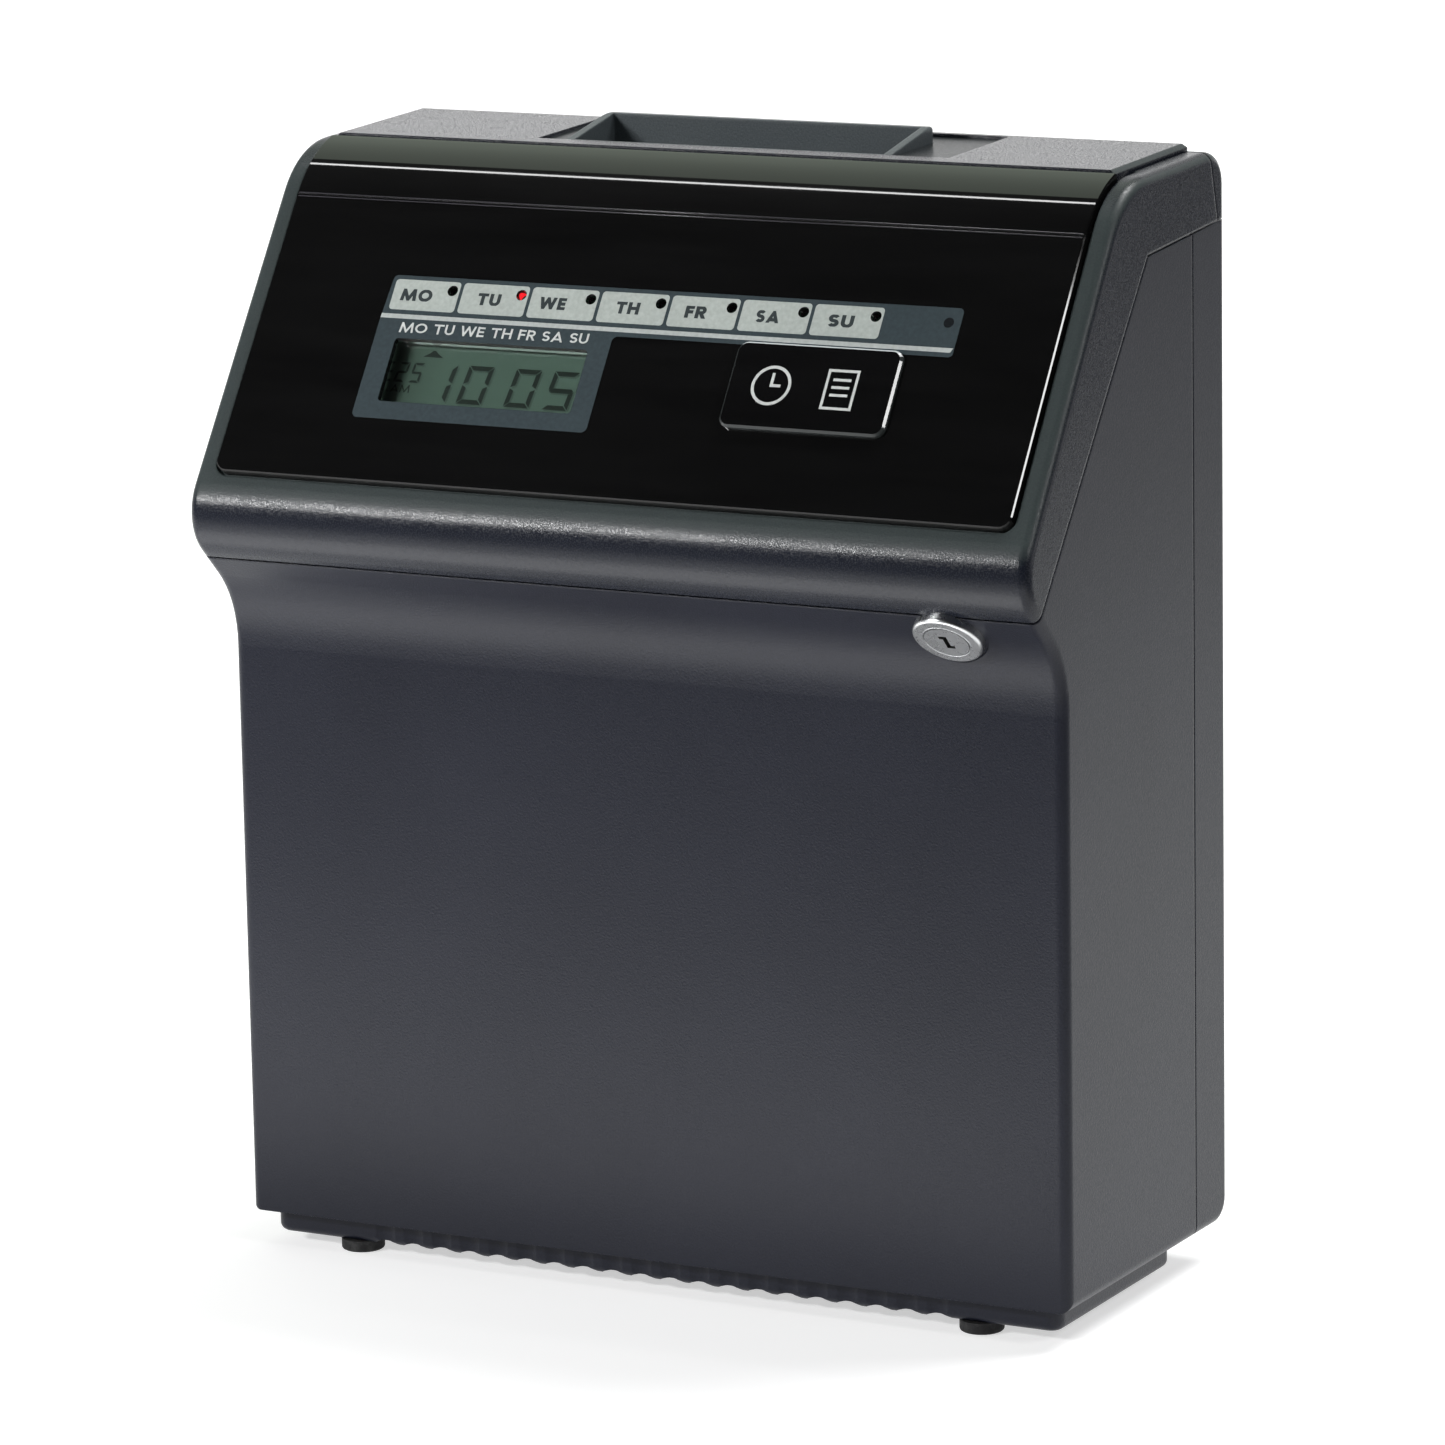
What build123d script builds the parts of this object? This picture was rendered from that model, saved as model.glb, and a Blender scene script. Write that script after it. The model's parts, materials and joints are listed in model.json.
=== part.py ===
from build123d import *
import os
from math import acos, cos, dist, pi, radians, sin, tan

# A punch time clock: a two-part front cover over a fixed back case, with the card printer inside.
# Millimetres. +X is to the right of a person facing the clock, +Y to its back, +Z up.
# The origin is on the table, under the middle of the clock's box.

# ---- driving dimensions -------------------------------------------------------------
WIDTH = 250.0
HALF = WIDTH / 2
FRONT_Y = -40.5          # flat lower front face
BACK_Y = 62.0            # back face
BOTTOM_Z = 10.0          # lower edge of the covers
WALL = 2.5
SEAM = 0.5               # gap between covers
EDGE_R = 3.0             # rounding of the side edges

NECK_Z = 169.5           # where the front starts to curve forward
NECK_R = 29.0
NECK_TURN = 46.0
NECK_RUN = 11.2          # straight stretch that carries the lock
ROLL_R = 15.0            # rounded front roll
SLOPE_TURN = 55.5        # slope of the display face above horizontal
SLOPE_RUN = 89.15
TOP_R = 27.0
TOP_TILT = 2.0           # the top rises a little to the back
REAR_TOP_R = 9.0
REAR_BOTTOM_R = 7.0

CASE_SEAM_Y = FRONT_Y + 81.0       # upright seam between front cover and back case
BEZEL_SEAM_Z = 196.3               # level seam across the front
SIDE_SEAM_TOP = (FRONT_Y + 53.0, 281.6)
SIDE_SEAM_REAR = (BACK_Y + 5.0, 285.8)
SEAM_CORNER_IN = 2.4
SEAM_CORNER_R = 5.0
BEZEL_WALL = 4.0

WINDOW_HALF = 118.3      # display window
WINDOW_START = 3.5       # distance up the slope to its lower edge
WINDOW_CREASE = 87.0     # distance up the slope to its crease
WINDOW_PROUD = 1.7
WINDOW_THICK = 3.0
WINDOW_GAP = 0.8         # groove round the window
WINDOW_CORNER_R = 3.5
WINDOW_EDGE = 0.35       # polished bevel round the window
WINDOW_LEDGE = 8.0       # bezel left behind the window's edges
OPENING_S = (10.0, 82.0)
CREASE = (0.5, 0.25)     # crease width and depth
LENS_N = (-1.3, 0.2)
LAMP_WINDOW_N = (-1.3, 1.2)
HOOD_R = 34.5            # curve of the window's upper part
HOOD_TURN = 38.2
HOOD_RUN = 0.8

LCD_X = (-74.5, -15.7)   # display aperture
LCD_S = (27.0, 45.6)
LAMP_X0 = -61.3          # lamp holes
LAMP_PITCH = 21.1
LAMP_S = 60.4
LAMP_COUNT = 8
LAMP_R = 1.5

PLATE_CENTRE = (52.8, 38.2)      # name plate, across and up the slope
PLATE_SIZE = (48.0, 24.8, 1.6)
PLATE_CORNER_R = 3.0
PLATE_BEVEL = 0.6

BRACKET_Y = (-14.0, -2.0)        # brackets that join the cover's two halves
BRACKET_Z = (144.0, 178.0)
BRACKET_T = 1.5
BRACKET_LIP = 8.0
COVER_SCREW_Y = -8.0
COVER_SCREW_Z = (150.0, 172.0)
COVER_SCREW_R = 1.2
COVER_SCREW_HEAD_R = 2.8

DECK_HALF = 117.2
DECK_Y = (FRONT_Y + 49.2, FRONT_Y + 95.3)
DECK_FRONT_TOP = 304.35
DECK_BEVEL = 1.1
DECK_SKIN = 2.5
DECK_GAP = (0.9, 1.2)            # gaps beside and in front of the deck
CHEEK_END = ((FRONT_Y + 92.3, 304.0), (FRONT_Y + 97.6, 284.0))   # slanted rear ends of the cheeks
CHEEK_GAP = 0.6
RECESS_X = (-57.5, 66.5)
RECESS_Y = (FRONT_Y + 55.5, FRONT_Y + 92.0)
RECESS_DEPTH = 0.9

THROAT_X = (-49.9, 48.5)
THROAT_WALL = 2.4
THROAT_TOP = 309.0
CARD_Y = FRONT_Y + 77.5  # middle of the card channel
CHANNEL = 5.0
GUIDE_T = 1.5
CARD_STOP_Z = 92.0
GUIDE_HALF = 52.0
GUIDE_Z = (CARD_STOP_Z - 2, 275.5)
GUIDE_RAIL_X = (47.6, 49.1)
GUIDE_FRONT_Y = CARD_Y - CHANNEL / 2 - GUIDE_T
GUIDE_BACK_Y = CARD_Y + CHANNEL / 2 + GUIDE_T
THROAT_FOOT_Z = 276.0

TRAY_HALF = 120.0
TRAY_Y = (FRONT_Y + 4.0, FRONT_Y + 76.0)
TRAY_Z = (3.2, 18.0)
FLUTES = 20
FLUTE_PITCH = 8.9
FLUTE_R = 7.0
FEET = [(x, y) for x in (-95.0, 95.0) for y in (FRONT_Y + 9.5, FRONT_Y + 69.0)]
FOOT_R = 6.0
FOOT_PEG_R = 2.5
FOOT_ROUNDING = 0.8

WALL_FIX_X = 60.0                # wall fixing points
KEYHOLE_Z = (236.0, 245.0)
KEYHOLE_HEAD_R = 4.5
WALL_SCREW_R = 2.25
WALL_SCREW_Z = 60.0

LOCK_X = 97.0
LOCK_RUN = 0.8           # lock centre, measured up the straight stretch
LOCK_RIM_R = 9.55
LOCK_RIM_H = 2.5
LOCK_BODY_R = 6.0
LOCK_SEAT_GAP = 0.9
LOCK_BACK = -17.0        # rear end of the plug, measured from the front face
LOCK_FACE_R = 6.1
PLUG_R = 4.5
CAM_POST_R = 3.0
CAM_N = -18.6
CAM_T = 1.5
NUT_T = 2.4
KEYWAY = ((0, 0, 1.3, 5.2), (-0.9, 2.0, 1.6, 1.2), (0.9, -2.0, 1.6, 1.2))   # x, y, width, height
RUN_FIT = 0.05           # radial clearance of a turning shaft

PLATE_X = 86.0           # inner faces of the chassis side plates
PLATE_T = 1.5
CHASSIS_BACK_Y = (56.0, 57.5)
CHASSIS_Z = (20.0, 272.0)
CHASSIS_FLOOR_Z = (22.0, 24.0)
CHASSIS_FRONT_Y = -22.0

SHAFT_R = 3.0            # carriage guide shafts
SHAFT_Y = 8.0
SHAFT_Z = (192.0, 216.0)
CARRIAGE_X = 18.0
CARRIAGE_Y = (-2.0, 18.0)
CARRIAGE_Z = (184.0, 224.0)
JAW_X = 8.0
JAW_T = 3.3
STRIKE_Z = (199.0, 209.0)        # height of the printing strip
PULLEY_R = 6.0
PULLEY_X = 62.0
PULLEY_Z = 204.0
BELT_Y = (-10.0, -6.0)
BELT_T = 1.2
FLANGE_R = PULLEY_R + 2.2
FLANGE_T = 1.0
MOTOR_R = 14.0
MOTOR_Y = (-34.0, -14.0)
MOTOR_BOSS_R = 6.0
MOTOR_SHAFT_R = 1.0
IDLER_POST_R = 2.0
BRACKET_PLATE_Y = (-13.9, -12.5)

RIBBON_Y = CARD_Y - CHANNEL / 2 - GUIDE_T - 1.1
RIBBON_T = 0.3
CASSETTE_HALF = 60.0
CASSETTE_ARM = 52.0
CASSETTE_Z = (228.0, 242.0)
KNOB_X = 40.0
KNOB_R = 8.0
KNOB_TOP = 249.0
KNOB_STEM_R = 3.0

FEED_Z = 150.0
FEED_ROLLER_R = 7.0
PINCH_ROLLER_R = 6.0
FEED_Y = CARD_Y - 0.2 - FEED_ROLLER_R
PINCH_Y = CARD_Y + 0.2 + PINCH_ROLLER_R
FEED_SHAFT_R = 2.5
PINCH_SHAFT_R = 1.5
ROLLER_X = 25.0
ROLLER_W = 8.0
MODULE = 0.7
GEAR_TEETH = 32
PINION_TEETH = 16
GEAR_X = (74.0, 79.0)
FEED_MOTOR_Y = FEED_Y - MODULE * (GEAR_TEETH + PINION_TEETH) / 2
FEED_MOTOR_X = (50.0, 70.0)
FEED_MOTOR_R = 12.5
PRESSURE_ANGLE = radians(20)
ROLLER_OPENING = (5.5, 8.0)      # half width and half height of the roller windows
ROLLER_OPENING_Z = (FEED_Z - ROLLER_OPENING[1], FEED_Z + ROLLER_OPENING[1])

KEY_X = (36.0, 52.0, 68.0)   # setting buttons
KEY_S = 36.0
KEY_R = 3.2
KEY_STEM_R = 2.1
KEY_N = (-7.5, -5.5, -3.4)       # stem foot, cap foot, cap top

BOARD_N = (-10.75, -9.2)         # boards behind the display slope
GLASS_N = (-5.95, -3.6)
LAMP_N = (-9.15, -3.0)

MAIN_BOARD_Y = (-24.2, -22.6)
MAIN_BOARD_Z = (58.0, 164.0)
MAIN_BOARD_HALF = 85.0
PART_Y = MAIN_BOARD_Y[0] - 0.05
BOARD_SCREW_X = 80.0
BOARD_SCREW_Z = (64.0, 158.0)
BUZZER = (66.0, 112.0)
BATTERY_X = (24.0, 39.0, 54.0)
BATTERY_R = 7.0
BATTERY_Y = (-20.0, 22.0)
CORE_X = (-68.0, -22.0)          # transformer core and coil
CORE_Y = (-16.0, 22.0)
COIL_X = (-60.0, -30.0)
COIL_Z = (30.0, 56.0)

INLET_X = -106.0
INLET_Z = 34.0
INLET_HALF = (12.0, 8.0)

WIDE = (-HALF - 1, HALF + 1)     # spans that run past the whole clock
TALL = (0, 320)
BACK_SKIN = (BACK_Y - WALL - 1, BACK_Y + 1)

os.makedirs("parts", exist_ok=True)


# ---- places -------------------------------------------------------------------------
def turned(point, degrees, distance):
    """A point that lies a distance away at an angle, in the side view."""
    return (point[0] + distance * cos(radians(degrees)), point[1] + distance * sin(radians(degrees)))


NECK_CENTRE = (FRONT_Y - NECK_R, NECK_Z)
NECK_END = turned(NECK_CENTRE, NECK_TURN, NECK_R)
ROLL_START = turned(NECK_END, 90 + NECK_TURN, NECK_RUN)
ROLL_CENTRE = turned(ROLL_START, NECK_TURN, ROLL_R)
SLOPE_START = turned(ROLL_CENTRE, 90 + SLOPE_TURN, ROLL_R)
SLOPE_END = turned(SLOPE_START, SLOPE_TURN, SLOPE_RUN)
TOP_CENTRE = turned(SLOPE_END, SLOPE_TURN - 90, TOP_R)
TOP_START = turned(TOP_CENTRE, 90 + TOP_TILT, TOP_R)
CHEEK_TOP = TOP_START[1]
RISE = tan(radians(TOP_TILT))
REAR_TOP_Y = BACK_Y - REAR_TOP_R - REAR_TOP_R * sin(radians(TOP_TILT))
REAR_TOP_Z = CHEEK_TOP + (REAR_TOP_Y - TOP_START[0]) * RISE


def slope_point(s, n):
    """Side-view point at distance s up the display slope and n out of it."""
    return turned(turned(SLOPE_START, SLOPE_TURN, s), SLOPE_TURN + 90, n)


def slope_plane(n, x=0.0, s=0.0):
    """Plane parallel to the display slope, n out of it, facing outward."""
    point = slope_point(s, n)
    normal = (0, -sin(radians(SLOPE_TURN)), cos(radians(SLOPE_TURN)))
    return Plane(origin=(x, point[0], point[1]), x_dir=(1, 0, 0), z_dir=normal)


def lock_plane(out):
    """Plane square to the lock's axis, at a distance out of the front face."""
    point = turned(turned(NECK_END, 90 + NECK_TURN, LOCK_RUN), 180 + NECK_TURN, out)
    normal = (0, -cos(radians(NECK_TURN)), -sin(radians(NECK_TURN)))
    return Plane(origin=(LOCK_X, point[0], point[1]), x_dir=(1, 0, 0), z_dir=normal)


def front_plane(y, x=0.0, z=0.0):
    """Upright plane that faces the front, local Y up."""
    return Plane(origin=(x, y, z), x_dir=(1, 0, 0), z_dir=(0, -1, 0))


def side_plane(x, y=0.0, z=0.0):
    """Upright plane that faces the right side, local X to the back and local Y up."""
    return Plane(origin=(x, y, z), x_dir=(0, 1, 0), z_dir=(1, 0, 0))


# ---- shapes that repeat -------------------------------------------------------------
def mirrored(side, near, far):
    """The (low, high) span between two distances on one side of the middle."""
    return tuple(sorted((side * near, side * far)))


def block(x, y, z, mode=Mode.ADD):
    """A box between two corners, each axis given as (low, high)."""
    with Locations(((x[0] + x[1]) / 2, (y[0] + y[1]) / 2, (z[0] + z[1]) / 2)):
        Box(x[1] - x[0], y[1] - y[0], z[1] - z[0], mode=mode)


def rod_x(radius, x, y, z, mode=Mode.ADD):
    """A round bar along X."""
    with Locations(Location(((x[0] + x[1]) / 2, y, z), (0, 90, 0))):
        Cylinder(radius, x[1] - x[0], mode=mode)


def rod_y(radius, x, y, z, mode=Mode.ADD):
    """A round bar along Y."""
    with Locations(Location((x, (y[0] + y[1]) / 2, z), (90, 0, 0))):
        Cylinder(radius, y[1] - y[0], mode=mode)


def rod_z(radius, x, y, z, mode=Mode.ADD):
    """A round bar along Z."""
    with Locations((x, y, (z[0] + z[1]) / 2)):
        Cylinder(radius, z[1] - z[0], mode=mode)


def slope_block(x, s, n, mode=Mode.ADD):
    """A box square to the display slope, each axis given as (low, high)."""
    with BuildSketch(slope_plane(n[0], (x[0] + x[1]) / 2, (s[0] + s[1]) / 2)) as profile:
        Rectangle(x[1] - x[0], s[1] - s[0])
    extrude(profile.sketch, amount=n[1] - n[0], mode=mode)


def slope_disc(radius, x, s, n, mode=Mode.ADD):
    """A round bar square to the display slope."""
    with BuildSketch(slope_plane(n[0], x, s)) as profile:
        Circle(radius)
    extrude(profile.sketch, amount=n[1] - n[0], mode=mode)


def lock_disc(radius, out, mode=Mode.ADD):
    """A round bar along the lock's axis, between two distances out of the front face."""
    with BuildSketch(lock_plane(out[0])) as profile:
        Circle(radius)
    extrude(profile.sketch, amount=out[1] - out[0], mode=mode)


def prism_x(points, x, mode=Mode.ADD):
    """A side-view polygon extruded along X."""
    with BuildSketch(side_plane(x[0])) as profile:
        with BuildLine():
            Polyline(*points, close=True)
        make_face()
    extrude(profile.sketch, amount=x[1] - x[0], mode=mode)


def case_outline(inset):
    """Closed side view of the whole case, shrunk by a wall thickness."""
    with BuildSketch(Plane.YZ) as outline:
        with BuildLine():
            front = Line((FRONT_Y, BOTTOM_Z), (FRONT_Y, NECK_Z))
            neck = JernArc(front @ 1, front % 1, NECK_R, NECK_TURN)
            lock_run = Line(neck @ 1, ROLL_START)
            roll = JernArc(lock_run @ 1, neck % 1, ROLL_R, SLOPE_TURN - 90 - NECK_TURN)
            slope = Line(roll @ 1, SLOPE_END)
            top = JernArc(slope @ 1, roll % 1, TOP_R, TOP_TILT - SLOPE_TURN)
            cheek = Line(top @ 1, (REAR_TOP_Y, REAR_TOP_Z))
            rear_top = JernArc(cheek @ 1, cheek % 1, REAR_TOP_R, -90 - TOP_TILT)
            back = Line(rear_top @ 1, (BACK_Y, BOTTOM_Z + REAR_BOTTOM_R))
            rear_bottom = JernArc(back @ 1, (0, -1), REAR_BOTTOM_R, -90)
            Line(rear_bottom @ 1, front @ 0)
        make_face()
        if inset > 0:
            offset(amount=-inset, kind=Kind.INTERSECTION)
    return outline.sketch


def case_shell(front_wall):
    """The whole case as one hollow shell with rounded side edges."""
    with BuildPart(mode=Mode.PRIVATE) as shell:
        extrude(case_outline(0), amount=HALF, both=True)
        left = shell.faces().sort_by(Axis.X)[0].edges()
        right = shell.faces().sort_by(Axis.X)[-1].edges()
        sides = [edge for edge in left + right if edge.center().Z > BOTTOM_Z + 0.01]
        fillet(sides, EDGE_R)
        extrude(case_outline(front_wall), amount=HALF - WALL, both=True, mode=Mode.SUBTRACT)
    return shell.part


def deck_height(y):
    """Height of the deck's top at a distance from the front."""
    return DECK_FRONT_TOP + (y - DECK_Y[0]) * RISE


def deck_prism(x, y, low, high, mode=Mode.ADD):
    """A slab under or over the tilted deck: each face flat at a height, or a drop below the deck's top."""
    lower = [(at, low) if low is not None else (at, deck_height(at) - RECESS_DEPTH) for at in y]
    upper = [(at, high) if high is not None else (at, deck_height(at)) for at in y]
    prism_x([lower[0], lower[1], upper[1], upper[0]], x, mode)


def below_side_seam(lift):
    """Everything under the seam between the bezel and the parts below it."""
    far = 100.0
    corner = (ROLL_START[0] + SEAM_CORNER_IN, BEZEL_SEAM_Z)
    with BuildPart(mode=Mode.PRIVATE) as region:
        with BuildSketch(side_plane(WIDE[0])) as profile:
            with BuildLine():
                Polyline(
                    (-far, BEZEL_SEAM_Z + lift),
                    (corner[0] - lift, corner[1] + lift),
                    (SIDE_SEAM_TOP[0] - lift, SIDE_SEAM_TOP[1] + lift),
                    (SIDE_SEAM_REAR[0], SIDE_SEAM_REAR[1] + lift),
                    (SIDE_SEAM_REAR[0], 0),
                    (-far, 0),
                    close=True,
                )
            make_face()
            corners = profile.vertices().filter_by(lambda v: v.Z > NECK_Z and 1 - far < v.Y < BACK_Y)
            fillet(corners, SEAM_CORNER_R)
        extrude(amount=WIDE[1] - WIDE[0])
    return region.part


def involute(angle):
    return tan(angle) - angle


def gear_face(plane, teeth, backlash=0.16):
    """Spur gear face with involute flanks, centred on a plane."""
    pitch_r = MODULE * teeth / 2
    base_r = pitch_r * cos(PRESSURE_ANGLE)
    root_r = pitch_r - 1.2 * MODULE
    tip_r = pitch_r + 0.85 * MODULE
    half_tooth = (pi / 2 - backlash) / teeth + involute(PRESSURE_ANGLE)
    radii = [max(root_r, base_r) + (tip_r - max(root_r, base_r)) * i / 4 for i in range(5)]
    half_angles = [half_tooth - involute(acos(min(1.0, base_r / r))) for r in radii]
    points = []
    for tooth in range(teeth):
        middle = 2 * pi * tooth / teeth
        flank = [(root_r, half_angles[0])] + list(zip(radii, half_angles))
        for r, a in flank:
            points.append((r * cos(middle - a), r * sin(middle - a)))
        for r, a in reversed(flank):
            points.append((r * cos(middle + a), r * sin(middle + a)))
    unique = [p for i, p in enumerate(points) if dist(p, points[i - 1]) > 1e-4]
    with BuildSketch(plane) as face:
        with BuildLine():
            Polyline(*unique, close=True)
        make_face()
    return face.sketch


def save(builder, name):
    """Label one finished piece and write it to its own file."""
    builder.part.label = name
    export_step(builder.part, "parts/" + name + ".step")


# ---- covers -------------------------------------------------------------------------
SHELL = case_shell(WALL)
THICK_SHELL = case_shell(BEZEL_WALL)
BELOW_SEAM = below_side_seam(0)
BELOW_SEAM_GAP = below_side_seam(SEAM)

with BuildPart() as lower_cover:
    add(SHELL)
    add(BELOW_SEAM, mode=Mode.INTERSECT)
    block(WIDE, (CASE_SEAM_Y - SEAM / 2, BACK_Y + 1), TALL, Mode.SUBTRACT)
    # open bottom
    floor_z = (BOTTOM_Z - 1, BOTTOM_Z + WALL + 1)
    block((-HALF + WALL, HALF - WALL), (FRONT_Y + WALL, BACK_Y), floor_z, Mode.SUBTRACT)
    # flat seat and hole for the lock
    lock_disc(LOCK_RIM_R + LOCK_SEAT_GAP, (0, 12), Mode.SUBTRACT)
    lock_disc(LOCK_BODY_R + 0.1, (-12, 3), Mode.SUBTRACT)
    # blind holes for the cover screws
    for side in (-1, 1):
        hole_x = mirrored(side, HALF - 1, HALF - WALL - 1)
        for z in COVER_SCREW_Z:
            rod_x(COVER_SCREW_R + 0.1, hole_x, COVER_SCREW_Y, z, Mode.SUBTRACT)
save(lower_cover, "lower_cover")

with BuildPart() as upper_bezel:
    add(THICK_SHELL)
    add(BELOW_SEAM_GAP, mode=Mode.SUBTRACT)
    # seat for the window, with rounded lower corners, and the opening behind it
    seat_n = WINDOW_PROUD - WINDOW_THICK - 0.1
    seat_s = WINDOW_START - WINDOW_GAP
    seat_depth = 40 - seat_n
    seat = [
        slope_point(seat_s, seat_n),
        slope_point(SLOPE_RUN, seat_n),
        turned(slope_point(SLOPE_RUN, seat_n), 25, 40),
        turned(slope_point(SLOPE_RUN, 40), 25, 40),
        slope_point(seat_s, 40),
    ]
    with BuildPart(mode=Mode.PRIVATE) as pocket:
        prism_x(seat, (-WINDOW_HALF - WINDOW_GAP, WINDOW_HALF + WINDOW_GAP))
        corners = pocket.edges().filter_by(
            lambda e: abs(e.length - seat_depth) < 0.01 and e.center().Y < slope_point(seat_s, 0)[0]
        )
        fillet(corners, WINDOW_CORNER_R + WINDOW_GAP)
    add(pocket.part, mode=Mode.SUBTRACT)
    opening = [
        slope_point(OPENING_S[0], -20),
        slope_point(OPENING_S[1], -20),
        slope_point(OPENING_S[1], 5),
        slope_point(OPENING_S[0], 5),
    ]
    prism_x(opening, (-WINDOW_HALF + WINDOW_LEDGE, WINDOW_HALF - WINDOW_LEDGE), Mode.SUBTRACT)
    # relief behind the skin for the lock nut
    lock_disc(11.2, (-20, -1.4), Mode.SUBTRACT)
    # room for the fixed deck between the cheeks
    deck_x = (-DECK_HALF - DECK_GAP[0], DECK_HALF + DECK_GAP[0])
    block(deck_x, (DECK_Y[0] - DECK_GAP[1], BACK_Y + 1), (270, 320), Mode.SUBTRACT)
    # slanted rear ends of the cheeks
    rear_end = [
        *CHEEK_END,
        (CHEEK_END[1][0], 270),
        (BACK_Y + 5, 270),
        (BACK_Y + 5, 310),
        (CHEEK_END[0][0], 310),
    ]
    prism_x(rear_end, WIDE, Mode.SUBTRACT)
save(upper_bezel, "upper_bezel")

with BuildPart() as display_window:
    with BuildSketch(Plane.YZ):
        with BuildLine():
            outer_flat = Line(
                slope_point(WINDOW_START, WINDOW_PROUD),
                slope_point(WINDOW_CREASE, WINDOW_PROUD),
            )
            outer_hood = JernArc(outer_flat @ 1, outer_flat % 1, HOOD_R, -HOOD_TURN)
            outer_rim = Line(outer_hood @ 1, outer_hood @ 1 + (outer_hood % 1) * HOOD_RUN)
            inner_flat = Line(
                slope_point(WINDOW_CREASE, WINDOW_PROUD - WINDOW_THICK),
                slope_point(WINDOW_START, WINDOW_PROUD - WINDOW_THICK),
            )
            inner_hood = JernArc(inner_flat @ 0, outer_flat % 1, HOOD_R - WINDOW_THICK, -HOOD_TURN)
            inner_rim = Line(inner_hood @ 1, inner_hood @ 1 + (outer_hood % 1) * HOOD_RUN)
            Line(outer_rim @ 1, inner_rim @ 1)
            Line(inner_flat @ 1, outer_flat @ 0)
        make_face()
    extrude(amount=WINDOW_HALF, both=True)
    # rounded lower corners
    corners = display_window.edges().filter_by(lambda e: abs(e.length - WINDOW_THICK) < 0.01)
    fillet(corners.group_by(Axis.Z)[0], WINDOW_CORNER_R)
    # polished bevel round the flat face
    outward = slope_plane(0).z_dir
    flat_height = Vector(0, *slope_point(WINDOW_START, WINDOW_PROUD)).dot(outward)
    rim = display_window.edges().filter_by(lambda e: abs(e.center().dot(outward) - flat_height) < 0.01)
    rim = rim.filter_by(lambda e: e.center().Z < slope_point(WINDOW_CREASE - 1, 0)[1])
    chamfer(rim, WINDOW_EDGE)
    # fine crease across the window
    crease_s = (WINDOW_CREASE - CREASE[0], WINDOW_CREASE)
    crease_n = (WINDOW_PROUD - CREASE[1], WINDOW_PROUD + 1)
    slope_block((-WINDOW_HALF, WINDOW_HALF), crease_s, crease_n, Mode.SUBTRACT)
    # display aperture and lamp holes
    slope_block(LCD_X, LCD_S, (-5, 5), Mode.SUBTRACT)
    for i in range(LAMP_COUNT - 1):
        slope_disc(LAMP_R, LAMP_X0 + i * LAMP_PITCH, LAMP_S, (-5, 5), Mode.SUBTRACT)
save(display_window, "display_window")

with BuildPart() as display_lens:
    slope_block((LCD_X[0] + 0.1, LCD_X[1] - 0.1), (LCD_S[0] + 0.1, LCD_S[1] - 0.1), LENS_N)
save(display_lens, "display_lens")

with BuildPart() as lamp_windows:
    for i in range(LAMP_COUNT - 1):
        slope_disc(LAMP_R - 0.05, LAMP_X0 + i * LAMP_PITCH, LAMP_S, LAMP_WINDOW_N)
save(lamp_windows, "lamp_windows")

with BuildPart() as name_plate:
    with BuildSketch(slope_plane(WINDOW_PROUD, *PLATE_CENTRE)):
        RectangleRounded(PLATE_SIZE[0], PLATE_SIZE[1], PLATE_CORNER_R)
    extrude(amount=PLATE_SIZE[2])
    front_face = name_plate.faces().sort_by(lambda f: f.center().dot(slope_plane(0).z_dir))[-1]
    chamfer(front_face.edges(), PLATE_BEVEL)
save(name_plate, "name_plate")

BRACKET_X = HALF - WALL - 0.05   # outer face of each bracket
with BuildPart() as cover_brackets:
    for side in (-1, 1):
        block(mirrored(side, BRACKET_X, BRACKET_X - BRACKET_T), BRACKET_Y, BRACKET_Z)
        for z in COVER_SCREW_Z:
            rod_x(1.6, mirrored(side, BRACKET_X + 1, BRACKET_X - 3), COVER_SCREW_Y, z, Mode.SUBTRACT)
        lip_z = (BRACKET_Z[1] - BRACKET_T, BRACKET_Z[1])
        block(mirrored(side, BRACKET_X, BRACKET_X - BRACKET_LIP), BRACKET_Y, lip_z)
save(cover_brackets, "cover_brackets")

with BuildPart() as cover_screws:
    for side in (-1, 1):
        for z in COVER_SCREW_Z:
            rod_x(COVER_SCREW_R, mirrored(side, BRACKET_X + 1.2, BRACKET_X - 1.6), COVER_SCREW_Y, z)
            rod_x(COVER_SCREW_HEAD_R, mirrored(side, BRACKET_X - 1.55, BRACKET_X - 3.4), COVER_SCREW_Y, z)
save(cover_screws, "cover_screws")

with BuildPart() as back_case:
    add(SHELL)
    add(BELOW_SEAM, mode=Mode.INTERSECT)
    block(WIDE, (-90, CASE_SEAM_Y + SEAM / 2), TALL, Mode.SUBTRACT)
    # wall fixing: two upper keyholes and two lower screw holes
    for x in (-WALL_FIX_X, WALL_FIX_X):
        rod_y(WALL_SCREW_R, x, BACK_SKIN, WALL_SCREW_Z, Mode.SUBTRACT)
        rod_y(KEYHOLE_HEAD_R, x, BACK_SKIN, KEYHOLE_Z[0], Mode.SUBTRACT)
        rod_y(WALL_SCREW_R, x, BACK_SKIN, KEYHOLE_Z[1], Mode.SUBTRACT)
        block((x - WALL_SCREW_R, x + WALL_SCREW_R), BACK_SKIN, KEYHOLE_Z, Mode.SUBTRACT)
    # opening for the power inlet
    inlet_x = (INLET_X - INLET_HALF[0], INLET_X + INLET_HALF[0])
    block(inlet_x, BACK_SKIN, (INLET_Z - INLET_HALF[1], INLET_Z + INLET_HALF[1]), Mode.SUBTRACT)
save(back_case, "back_case")

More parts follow.
